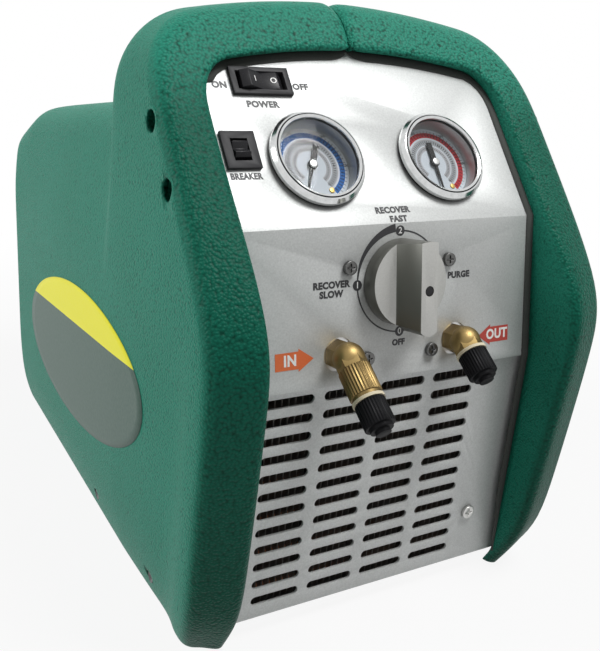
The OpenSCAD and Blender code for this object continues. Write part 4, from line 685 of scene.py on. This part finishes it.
SHADE_BAND_TOP = CORNER_STEPS + TOP_STEPS[:1] + [2.0 + 0.02 * step for step in range(1, 51)]
LEFT_SHADE_BAND_START = [1.3]
RIGHT_SHADE_BAND_LEG = [0.04, 0.2, 0.4, 0.525, 0.526, 0.65, 0.81, 0.9]
panel_shade_band("left_panel_shade_band", 1, LEFT_SHADE_BAND_START + SHADE_BAND_TOP[2:])
panel_shade_band("right_panel_shade_band", -1, RIGHT_SHADE_BAND_LEG + SHADE_BAND_TOP)

# Printing on the panel: black screen-printed words, the selector's ring with its numbers,
# and the two coloured flow arrows. All of it is a film a twentieth of a millimetre thick.
FILM = 0.05 * MM
PRINT_OUT, OVERPRINT_OUT = 0.06, 0.16
INK = (0.012, 0.012, 0.014)


def printing_ink(name, colour, thin, size, rough):
    made = Finish(name, Roughness=rough)
    made.mottle(size * MM, colour, thin)
    return made.material


black_ink = printing_ink("black_ink", INK, (0.03, 0.03, 0.033), 0.8, 0.5)
orange_ink = printing_ink("orange_ink", (0.66, 0.12, 0.03), (0.72, 0.17, 0.05), 1.0, 0.45)
red_ink = printing_ink("red_ink", (0.42, 0.045, 0.035), (0.5, 0.07, 0.05), 1.0, 0.45)
white_ink = printing_ink("white_ink", (0.9, 0.9, 0.88), (0.82, 0.82, 0.8), 1.0, 0.45)
CAP_SHARE, LETTER_SPACE = 0.7, 1.08


def lettering(name, words, place, cap, material, body="machine", stretch=1.0, bold=0.0):
    """Words as a thin printed film: cap is the height of a capital in millimetres."""
    curve = bpy.data.curves.new(name, "FONT")
    curve.body = words
    curve.align_x = "CENTER"
    curve.align_y = "CENTER"
    curve.size = cap / CAP_SHARE * MM
    curve.offset = bold * MM
    curve.space_character = LETTER_SPACE
    curve.extrude = FILM
    curve.resolution_u = 3
    words_object = bpy.data.objects.new(name + "_curve", curve)
    bpy.context.scene.collection.objects.link(words_object)
    bpy.context.view_layer.update()
    flat = bpy.data.meshes.new_from_object(words_object.evaluated_get(bpy.context.evaluated_depsgraph_get()))
    bpy.data.objects.remove(words_object)
    work = bmesh.new()
    work.from_mesh(flat)
    bpy.data.meshes.remove(flat)
    bmesh.ops.transform(work, matrix=place @ Matrix.Diagonal((stretch, 1, 1, 1)), verts=work.verts)
    piece(name, work, material, body, smooth=False)


WORD_BOLD = 0.25
UPPER_WORDS = (
    ("on_word", "ON", -80.2, 78.9, 3.4, 1.0),
    ("off_word", "OFF", -34.8, 79.0, 3.4, 1.0),
    ("power_word", "POWER", -59.3, 68.2, 3.4, 1.0),
    ("recover_fast_1", "RECOVER", -2.4, 7.3, 3.2, 1.0),
    ("recover_fast_2", "FAST", -0.3, 2.2, 3.2, 1.0),
    ("breaker_word", "BREAKER", -79.0, 28.4, 3.2, 0.84),
)
MIDDLE_WORDS = (
    ("recover_slow_1", "RECOVER", -41.2, 51.0, 3.2, 1.0),
    ("recover_slow_2", "SLOW", -41.3, 46.4, 3.2, 1.0),
    ("purge_word", "PURGE", 38.6, 50.2, 3.2, 1.0),
    ("selector_off_word", "OFF", -0.5, 17.8, 3.0, 1.0),
)
for face_place, face_words in ((top_place, UPPER_WORDS), (mid_place, MIDDLE_WORDS)):
    for name, words, x, u, cap, stretch in face_words:
        lettering(name, words, face_place(x, u, PRINT_OUT), cap, black_ink, stretch=stretch, bold=WORD_BOLD)

KNOB_U = 49.7
RING_R, RING_W, RING_SWELL = 26.0, 0.8, 3.4
DOT_R, DOT_HOLE, NUMBER_CAP, NUMBER_BOLD = 2.7, 0.01, 3.2, 0.04
RING_TURNS = {"0": -90, "1": 180, "2": 90, "3": 0}
RING_ARCS = {"ring_arc_276": (-84, -6), "ring_arc_6": (6, 84), "ring_arc_186": (186, 264)}
RING_WEDGE = (96, 174)


def flat_ring(name, place, inner, outer, turns, swell=0.0, segments=60):
    """A flat black arc between two turns in degrees; swell is what its start is wider by."""
    start, end = turns
    work = bmesh.new()
    verts = [work.verts.new((r, 0, 0)) for r in (inner * MM, outer * MM)]
    strip = [work.edges.new(verts)]
    bmesh.ops.spin(work, geom=strip + verts, cent=(0, 0, 0), axis=(0, 0, 1), angle=math.radians(end - start),
                   steps=segments, use_merge=abs(end - start) >= 360)
    for vert in work.verts:
        along = math.degrees(math.atan2(vert.co.y, vert.co.x)) / (end - start)
        if swell and vert.co.length > (inner + outer) / 2 * MM:
            vert.co *= 1 + swell / outer * (1 - along)
    bmesh.ops.remove_doubles(work, verts=work.verts, dist=0.001 * MM)
    bmesh.ops.recalc_face_normals(work, faces=work.faces)
    turned_to(work, (0, 0, 1))
    bmesh.ops.transform(work, matrix=place @ Matrix.Rotation(math.radians(start), 4, "Z"), verts=work.verts)
    thickened(piece(name, work, black_ink, "machine", smooth=False), FILM, 1)


def selector_arc(name, turns, swell=0.0):
    flat_ring(name, mid_place(0, KNOB_U, PRINT_OUT), RING_R - RING_W / 2, RING_R + RING_W / 2, turns, swell)


for name, turns in RING_ARCS.items():
    selector_arc(name, turns)
selector_arc("ring_wedge", RING_WEDGE, RING_SWELL)
for number, turn in RING_TURNS.items():
    spot = Matrix.Rotation(math.radians(turn), 4, "Z") @ Vector((RING_R, 0, 0))
    dot_place = mid_place(spot.x, KNOB_U + spot.y, PRINT_OUT)
    number_place = mid_place(spot.x, KNOB_U + spot.y, OVERPRINT_OUT)
    flat_ring("ring_dot_" + number, dot_place, DOT_HOLE, DOT_R, (0, 360), segments=32)
    lettering("ring_number_" + number, number, number_place, NUMBER_CAP, white_ink, bold=NUMBER_BOLD)

ARROW_LENGTH, ARROW_HEAD, ARROW_HALF, ARROW_BARB = 21.5, 8.5, 4.4, 5.8
ARROW_CAP, ARROW_STRETCH, ARROW_BOLD, ARROW_WORD_BACK = 5.3, 0.9, 0.28, 2.5
ARROW_TIP, ARROW_NECK = ARROW_LENGTH / 2, ARROW_LENGTH / 2 - ARROW_HEAD
ARROW_POINTS = [
    (-ARROW_TIP, -ARROW_HALF), (ARROW_NECK, -ARROW_HALF), (ARROW_NECK, -ARROW_BARB), (ARROW_TIP, 0),
    (ARROW_NECK, ARROW_BARB), (ARROW_NECK, ARROW_HALF), (-ARROW_TIP, ARROW_HALF),
]


def flow_arrow(name, x, u, way, material, words):
    """A block arrow with a word on its shaft, which points right for a way of 1."""
    work = bmesh.new()
    face = work.faces.new([work.verts.new((a * way * MM, b * MM, 0)) for a, b in ARROW_POINTS])
    if way < 0:
        face.normal_flip()
    bmesh.ops.transform(work, matrix=mid_place(x, u, PRINT_OUT), verts=work.verts)
    thickened(piece(name, work, material, "machine", smooth=False), FILM, 1)
    word_place = mid_place(x - ARROW_WORD_BACK * way, u, OVERPRINT_OUT)
    lettering(name + "_word", words, word_place, ARROW_CAP, white_ink, stretch=ARROW_STRETCH, bold=ARROW_BOLD)


flow_arrow("in_arrow", -62.5, 15.8, 1, orange_ink, "IN")
flow_arrow("out_arrow", 64.3, 14.8, -1, red_ink, "OUT")

# Gauges: turned steel cases with a printed dial, black needle with a silver hub cap,
# clear lens and a rolled chrome bezel that clips over the case.
GAUGE_X, GAUGE_U, DIAL_DEPTH = 38.5, 36.4, 5.0
SCALE_IN, SCALE_OUT = 15.9, 19.0
SCALE_FROM, SCALE_TO = math.radians(-138), math.radians(148)
BANDS = ((8.2, 10.6, (0.4, 0.41, 0.43)), (11.4, 14.6, (0.36, 0.38, 0.4)))
BAND_EDGE, BAND_EDGE_W = (0.3, 0.22, 0.2), 0.22
TICK_LENGTH = 1.2
DIAL_WHITE = (0.62, 0.68, 0.74)
DIAL_AGED = (0.6, 0.62, 0.63)
BEZEL_GROOVE, BEZEL_FOOT = (23.0, 23.7), 1.6
CHROME = (0.74, 0.75, 0.75)
CHROME_STREAK = (0.5, 0.51, 0.51)
CHROME_PAINTED_SHADE = (0.03, 0.03, 0.032)


def gauge_axes(made, x, axes):
    """Distances from a gauge's middle in millimetres: X across, Y up the slope and Z out of the panel."""
    flat = made.node("ShaderNodeMapping", {"vector_type": "TEXTURE"}, Vector=made.place,
                     Location=top_place(x, GAUGE_U, 0).translation, Rotation=(math.pi / 2 - TOP_LEAN, 0, 0))
    return [made.axis(flat, name) * (1 / MM) for name in axes]


def from_middle(across, upward):
    return across.math("SQRT", across * across + upward * upward)


def dial_finish(name, x, colour):
    """Printed scale: a coloured ring with dark ticks, two pale inner bands and a bare sector below."""
    made = Finish(name, Roughness=0.45, Specular_IOR_Level=0.1)
    across, upward = gauge_axes(made, x, "XY")
    radius = from_middle(across, upward)
    turn = across.math("ARCTAN2", across, upward)
    sector = (turn > SCALE_FROM) * (turn < SCALE_TO)

    def ring(inner, outer):
        return (radius > inner) * (radius < outer) * sector

    def ticks(count, share):
        return turn.math("FRACT", turn * (count / (2 * math.pi)) + count) < share

    tint = made.blend(0.12 * made.noise(1.2 * MM), solid(DIAL_WHITE), solid(DIAL_AGED))
    for inner, outer, shade in BANDS:
        tint = made.blend(ring(inner, outer), tint, solid(shade))
        tint = made.blend(ring(inner + 0.8, outer - 0.6) * ticks(60, 0.4) * 0.75, tint, solid(INK))
        tint = made.blend(ring(outer, outer + BAND_EDGE_W) * 0.7, tint, solid(BAND_EDGE))
    tint = made.blend(ring(SCALE_IN, SCALE_OUT), tint, solid(colour))
    tint = made.blend(ring(SCALE_IN + 0.5, SCALE_OUT - 0.4) * ticks(56, 0.36) * 0.75, tint, solid(INK))
    tint = made.blend(ring(SCALE_OUT, SCALE_OUT + TICK_LENGTH) * ticks(55, 0.16) * 0.8, tint, solid(INK))
    made.set("Base Color", tint)
    return made.material


def bezel_finish(name, x):
    """Bright chrome, with painted shade in the groove round the lens and at its foot by the panel."""
    made = Finish(name, Metallic=1.0)
    across, upward, out = gauge_axes(made, x, "XYZ")
    radius = from_middle(across, upward)
    groove = (radius > BEZEL_GROOVE[0]) * (radius < BEZEL_GROOVE[1])
    dark = groove.math("MAXIMUM", groove, out < BEZEL_FOOT)
    streak = made.noise(3 * MM, 4)
    bright = made.blend(streak, solid(CHROME), solid(CHROME_STREAK))
    made.set("Base Color", made.blend(dark, bright, solid(CHROME_PAINTED_SHADE)))
    made.set("Roughness", 0.1 + 0.06 * streak)
    return made.material


def metal(name, colour, dark, rough, grain_size, metallic=1.0, bump=0.05):
    """A metal with fine grain and wide darker stains."""
    made = Finish(name, Metallic=metallic)
    grain = made.noise(grain_size * MM, 4)
    stain = made.noise(18 * MM, 3)
    made.set("Base Color", made.blend(0.6 * stain + 0.3 * grain, solid(colour), solid(dark)))
    made.set("Roughness", rough + 0.14 * grain)
    made.bump(grain, bump, 0.1 * MM)
    return made.material


def plastic(name, colour, worn, rough, grain_size, bump=0.1, specular=0.16):
    """A plastic, rubber or paint with fine grain and a paler haze of wear."""
    made = Finish(name, Specular_IOR_Level=specular)
    grain = made.noise(grain_size * MM, 3)
    haze = made.noise(14 * MM, 2)
    made.set("Base Color", made.blend(0.5 * haze + 0.2 * grain, solid(colour), solid(worn)))
    made.set("Roughness", rough + 0.12 * grain)
    made.bump(grain, bump, 0.1 * MM)
    return made.material


def dress(material, *names):
    """Gives CAD nodes their finish."""
    for name in names:
        nodes[name].data.materials[0] = material


def turned(name, place, radius, height, round_off, material, body):
    """A short turned piece with its upper edge rounded."""
    work = bmesh.new()
    rod(work, radius, height, Matrix.Translation((0, 0, height / 2 * MM)))
    rim = [edge for edge in work.edges if all(vert.co.z > 0.99 * height * MM for vert in edge.verts)]
    bmesh.ops.bevel(work, geom=rim, offset=round_off * MM, segments=3, profile=0.5, affect="EDGES",
                    material=-1)
    bmesh.ops.transform(work, matrix=place, verts=work.verts)
    made = piece(name, work, material, body)
    made.data.set_sharp_from_angle(angle=TURNED_SHARP)


hub_silver = Finish("hub_silver", Metallic=0.9)
hub_silver.mottle(0.6 * MM, (0.72, 0.73, 0.72), (0.55, 0.56, 0.55))
hub_silver.set("Roughness", 0.22 + 0.12 * hub_silver.noise(0.9 * MM))
dial_brass = Finish("dial_screw_brass", Metallic=0.9)
tarnish = dial_brass.mottle(0.5 * MM, (0.62, 0.44, 0.14), (0.4, 0.27, 0.08))
dial_brass.set("Roughness", 0.3 + 0.1 * tarnish)
lens = Finish("gauge_lens", Roughness=0.03, Alpha=0.06, IOR=1.5)
lens.mottle(6 * MM, (0.2, 0.21, 0.21), (0.12, 0.13, 0.13), 3)
needle_black = plastic("needle_black", (0.012, 0.012, 0.013), (0.022, 0.022, 0.023), 0.36, 0.6)
zinc_steel = metal("zinc_steel", (0.62, 0.62, 0.6), (0.42, 0.42, 0.41), 0.26, 0.7)

FIGURE_R, FIGURE_CAP, INNER_FIGURE_R, INNER_FIGURE_CAP = 20.2, 1.5, 13.0, 1.2
HUB_OUT, HUB_R, HUB_H, HUB_ROUND = 2.0, 2.1, 0.9, 0.4
DIAL_SCREW_X, DIAL_SCREW_U, DIAL_SCREW_R, DIAL_SCREW_H, DIAL_SCREW_ROUND = 7.5, -14.2, 1.5, 0.6, 0.25
GAUGES = (
    ("low", -GAUGE_X, (0.02, 0.13, 0.42), ("0", "50", "100", "150", "200", "250")),
    ("high", GAUGE_X, (0.46, 0.02, 0.03), ("0", "100", "200", "300", "400", "500")),
)


def dial_figure(name, word, x, radius, angle, cap):
    across, upward = radius * math.sin(angle), radius * math.cos(angle)
    place = top_place(x + across, GAUGE_U + upward, PRINT_OUT - DIAL_DEPTH)
    lettering(name, word, place, cap, black_ink)


for side, x, colour, figures in GAUGES:
    dress(dial_finish(side + "_dial_print", x, colour), side + "_gauge_dial")
    dress(bezel_finish(side + "_bezel_chrome", x), side + "_gauge_bezel")
    dress(lens.material, side + "_gauge_lens")
    dress(needle_black, side + "_gauge_needle")
    dress(zinc_steel, side + "_gauge_case")
    for index, word in enumerate(figures):
        angle = mix(SCALE_FROM, SCALE_TO, index / (len(figures) - 1))
        dial_figure("%s_dial_%s" % (side, word), word, x, FIGURE_R, angle, FIGURE_CAP)
        dial_figure("%s_inner_%d" % (side, index), str(2 * index), x, INNER_FIGURE_R, angle, INNER_FIGURE_CAP)
    turned(side + "_hub_cap", top_place(x, GAUGE_U, HUB_OUT - DIAL_DEPTH), HUB_R, HUB_H, HUB_ROUND,
           hub_silver.material, side + "_needle")
    screw_place = top_place(x + DIAL_SCREW_X, GAUGE_U + DIAL_SCREW_U, -DIAL_DEPTH)
    turned(side + "_dial_screw", screw_place, DIAL_SCREW_R, DIAL_SCREW_H, DIAL_SCREW_ROUND,
           dial_brass.material, "machine")

# Selector: a cast and plated knob with a grip bar, a black plug pressed into the bar's face,
# and a steel stem that turns the valve behind the panel.
KNOB_FACE = (0.5, 0.5, 0.48)
KNOB_SIDE = (0.13, 0.13, 0.115)
LIT_FACE_FROM, LIT_FACE_TO = 0.25, 0.9
PANEL_OUT = (0, -math.cos(MID_LEAN), math.sin(MID_LEAN))
knob = Finish("knob_plating", Metallic=0.6)
cast = knob.noise(0.7 * MM, 3)
# Faces turned out of the panel take the pale grey and the sides the dark grey: a painted highlight and
# painted shade.
lit_face = knob.fade(knob.facing(PANEL_OUT), LIT_FACE_FROM, LIT_FACE_TO)
lit_faces_shaded_sides = knob.blend(lit_face, solid(KNOB_SIDE), solid(KNOB_FACE))
knob.set("Base Color", knob.blend(0.3 * cast, lit_faces_shaded_sides, solid(KNOB_SIDE)))
knob.set("Roughness", 0.32 + 0.16 * cast)
knob.bump(cast, 0.18, 0.12 * MM)
black_moulding = plastic("black_moulding", (0.018, 0.018, 0.02), (0.035, 0.035, 0.037), 0.4, 0.7)
eased("selector_knob", 0.9, knob.material)
eased("knob_plug", 0.4, black_moulding)
dress(zinc_steel, "selector_stem")

# Switches: the power rocker and the small breaker, glossy black mouldings that tilt in black frames
# clipped into the panel. The power rocker has a white bar on one half and a ring on the other.
black_gloss = plastic("black_gloss", (0.012, 0.012, 0.014), (0.02, 0.02, 0.022), 0.2, 0.6, 0.04)
for frame_node, rocker_node in (("switch_frame", "power_rocker"), ("breaker_frame", "breaker_rocker")):
    eased(frame_node, 0.3, black_moulding)
    eased(rocker_node, 0.4, black_gloss)
SWITCH_X, SWITCH_U, ROCKER_PIVOT, ROCKER_TILT = -57.5, 81.0, -2.0, math.radians(9)
ROCKER_MIDDLE, ROCKER_SLOPE = 3.4, math.atan2(2.2, 8.4)
MARK_CAP, MARK_OUT = 3.2, 0.04
rocker_place = top_place(SWITCH_X, SWITCH_U, ROCKER_PIVOT) @ Matrix.Rotation(ROCKER_TILT, 4, "Y")
for mark, side, reach in (("I", -1, 4.6), ("O", 1, 6.2)):
    out = ROCKER_MIDDLE + reach * math.tan(ROCKER_SLOPE) + MARK_OUT
    on_half = Matrix.Translation(Vector((side * reach, 0, out)) * MM)
    mark_place = rocker_place @ on_half @ Matrix.Rotation(-side * ROCKER_SLOPE, 4, "Y")
    lettering("rocker_mark_" + mark, mark, mark_place, MARK_CAP, white_ink, body="power_rocker")

# Ports: brass elbows screwed into the valve block, with nylon washers and ridged black caps.
# The inlet also has a knurled brass coupler that swivels on the elbow's end.
turned_brass = metal("turned_brass", (0.36, 0.26, 0.11), (0.19, 0.13, 0.05), 0.38, 0.8)
knurled_brass = metal("knurled_brass", (0.27, 0.19, 0.08), (0.13, 0.09, 0.035), 0.34, 0.8)
washer_nylon = plastic("washer_nylon", (0.75, 0.68, 0.5), (0.62, 0.54, 0.38), 0.5, 0.6)
cap_black = plastic("cap_black", (0.005, 0.005, 0.006), (0.012, 0.012, 0.013), 0.34, 0.7, 0.06, 0.06)
for port in ("in", "out"):
    eased(port + "_elbow", 0.35, turned_brass)
    eased(port + "_cap", 0.2, cap_black)
    dress(washer_nylon, port + "_washer")
eased("in_coupler", 0.15, knurled_brass)

# Screws of panels and shell: bright zinc pan heads in the panels, worn black cross heads round
# the selector and the ports, and black screws deep in the wells of the shell.
black_oxide = metal("black_oxide", (0.1, 0.1, 0.1), (0.05, 0.05, 0.052), 0.32, 0.6, 0.8)
worn_oxide = metal("worn_oxide", (0.17, 0.17, 0.165), (0.06, 0.06, 0.06), 0.26, 0.5, 0.9)
eased("lower_panel_screw", 0.5, zinc_steel)
eased("block_screws", 0.35, worn_oxide)
dress(zinc_steel, "rear_screws")
dress(black_oxide, "shell_screws")

# Base screws: black cross-head screws that hold the tray's lips to the foot of each half.
# Each is the CAD screw with its head set down into the recess in the wall, which is drawn in there.
HEAD_H = 4.0
HEAD_FROM = (SHELL_W - HEAD_H) * MM
work = bmesh.new()
work.from_mesh(nodes["base_screws"].data)
bmesh.ops.remove_doubles(work, verts=work.verts, dist=MERGE)
for vert in work.verts:
    if abs(vert.co.x) > HEAD_FROM:
        seat = min(base_seats, key=lambda place: (vert.co - place).length)
        vert.co.x += seat.x - math.copysign(SHELL_W * MM, seat.x)
heads = piece("base_screw_heads", work, black_oxide, "machine")
heads.data.set_sharp_from_angle(angle=EASED_SHARP)
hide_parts("base_screws")

# Base: a folded galvanised tray that carries the works, with the motor's cradle on it
# and four moulded rubber feet whose studs are pressed into it.
galvanised_sheet = metal("galvanised_sheet", (0.56, 0.57, 0.58), (0.4, 0.42, 0.44), 0.34, 6.0)
foot_rubber = plastic("foot_rubber", (0.02, 0.02, 0.02), (0.045, 0.043, 0.042), 0.7, 0.9, 0.3)
dress(galvanised_sheet, "base_tray", "motor_cradle")
dress(foot_rubber, "rubber_feet")

# Rear panel: powder-coated sheet steel with punched air slots, screwed to the shell's rim.
# The mains inlet is a black moulding with brass pins, screwed into the sheet.
powder_coat = plastic("black_powder_coat", (0.022, 0.022, 0.024), (0.04, 0.04, 0.042), 0.42, 0.6, 0.25)
dress(powder_coat, "rear_panel")
eased("power_inlet", 0.4, black_moulding)
dress(turned_brass, "inlet_pins")

# Cooling: a condenser of dark coated fins pressed on copper tubes, behind the panel's slots,
# and a moulded fan in a black shroud that draws air through it.
coated_fins = metal("coated_fins", (0.2, 0.19, 0.17), (0.1, 0.095, 0.085), 0.42, 1.5, 0.5)
copper_tube = metal("copper_tube", (0.72, 0.36, 0.2), (0.5, 0.22, 0.11), 0.26, 1.2)
fan_moulding = plastic("fan_moulding", (0.05, 0.05, 0.052), (0.08, 0.08, 0.082), 0.45, 0.8)
dress(coated_fins, "condenser_fins")
dress(copper_tube, "condenser_tubes")
dress(fan_moulding, "fan")
dress(black_moulding, "fan_shroud")

# Motor and compressor: an enamelled motor can with a steel shaft and an aluminium run capacitor,
# bolted to a cast aluminium crankcase with a finned cylinder.
motor_enamel = plastic("motor_enamel", (0.03, 0.03, 0.032), (0.05, 0.05, 0.052), 0.36, 0.8)
plain_aluminium = metal("machined_aluminium", (0.72, 0.73, 0.74), (0.58, 0.59, 0.6), 0.3, 0.8)
cast_aluminium = metal("cast_aluminium", (0.52, 0.53, 0.55), (0.4, 0.41, 0.43), 0.5, 0.9, 1.0, 0.3)
dress(motor_enamel, "motor_can")
dress(zinc_steel, "motor_shaft")
dress(plain_aluminium, "run_capacitor")
eased("cylinder_head", 0.5, cast_aluminium)
eased("compressor_case", 1.2, cast_aluminium)

# Valve block and pipes: a machined aluminium block behind the panel with a black pressure switch,
# joined to the gauges, compressor and condenser by bent copper pipes, brazed at their ends.
dress(plain_aluminium, "valve_block")
dress(black_moulding, "pressure_switch")
dress(copper_tube, "low_gauge_tube", "high_gauge_tube", "suction_pipe", "discharge_pipe", "liquid_pipe")
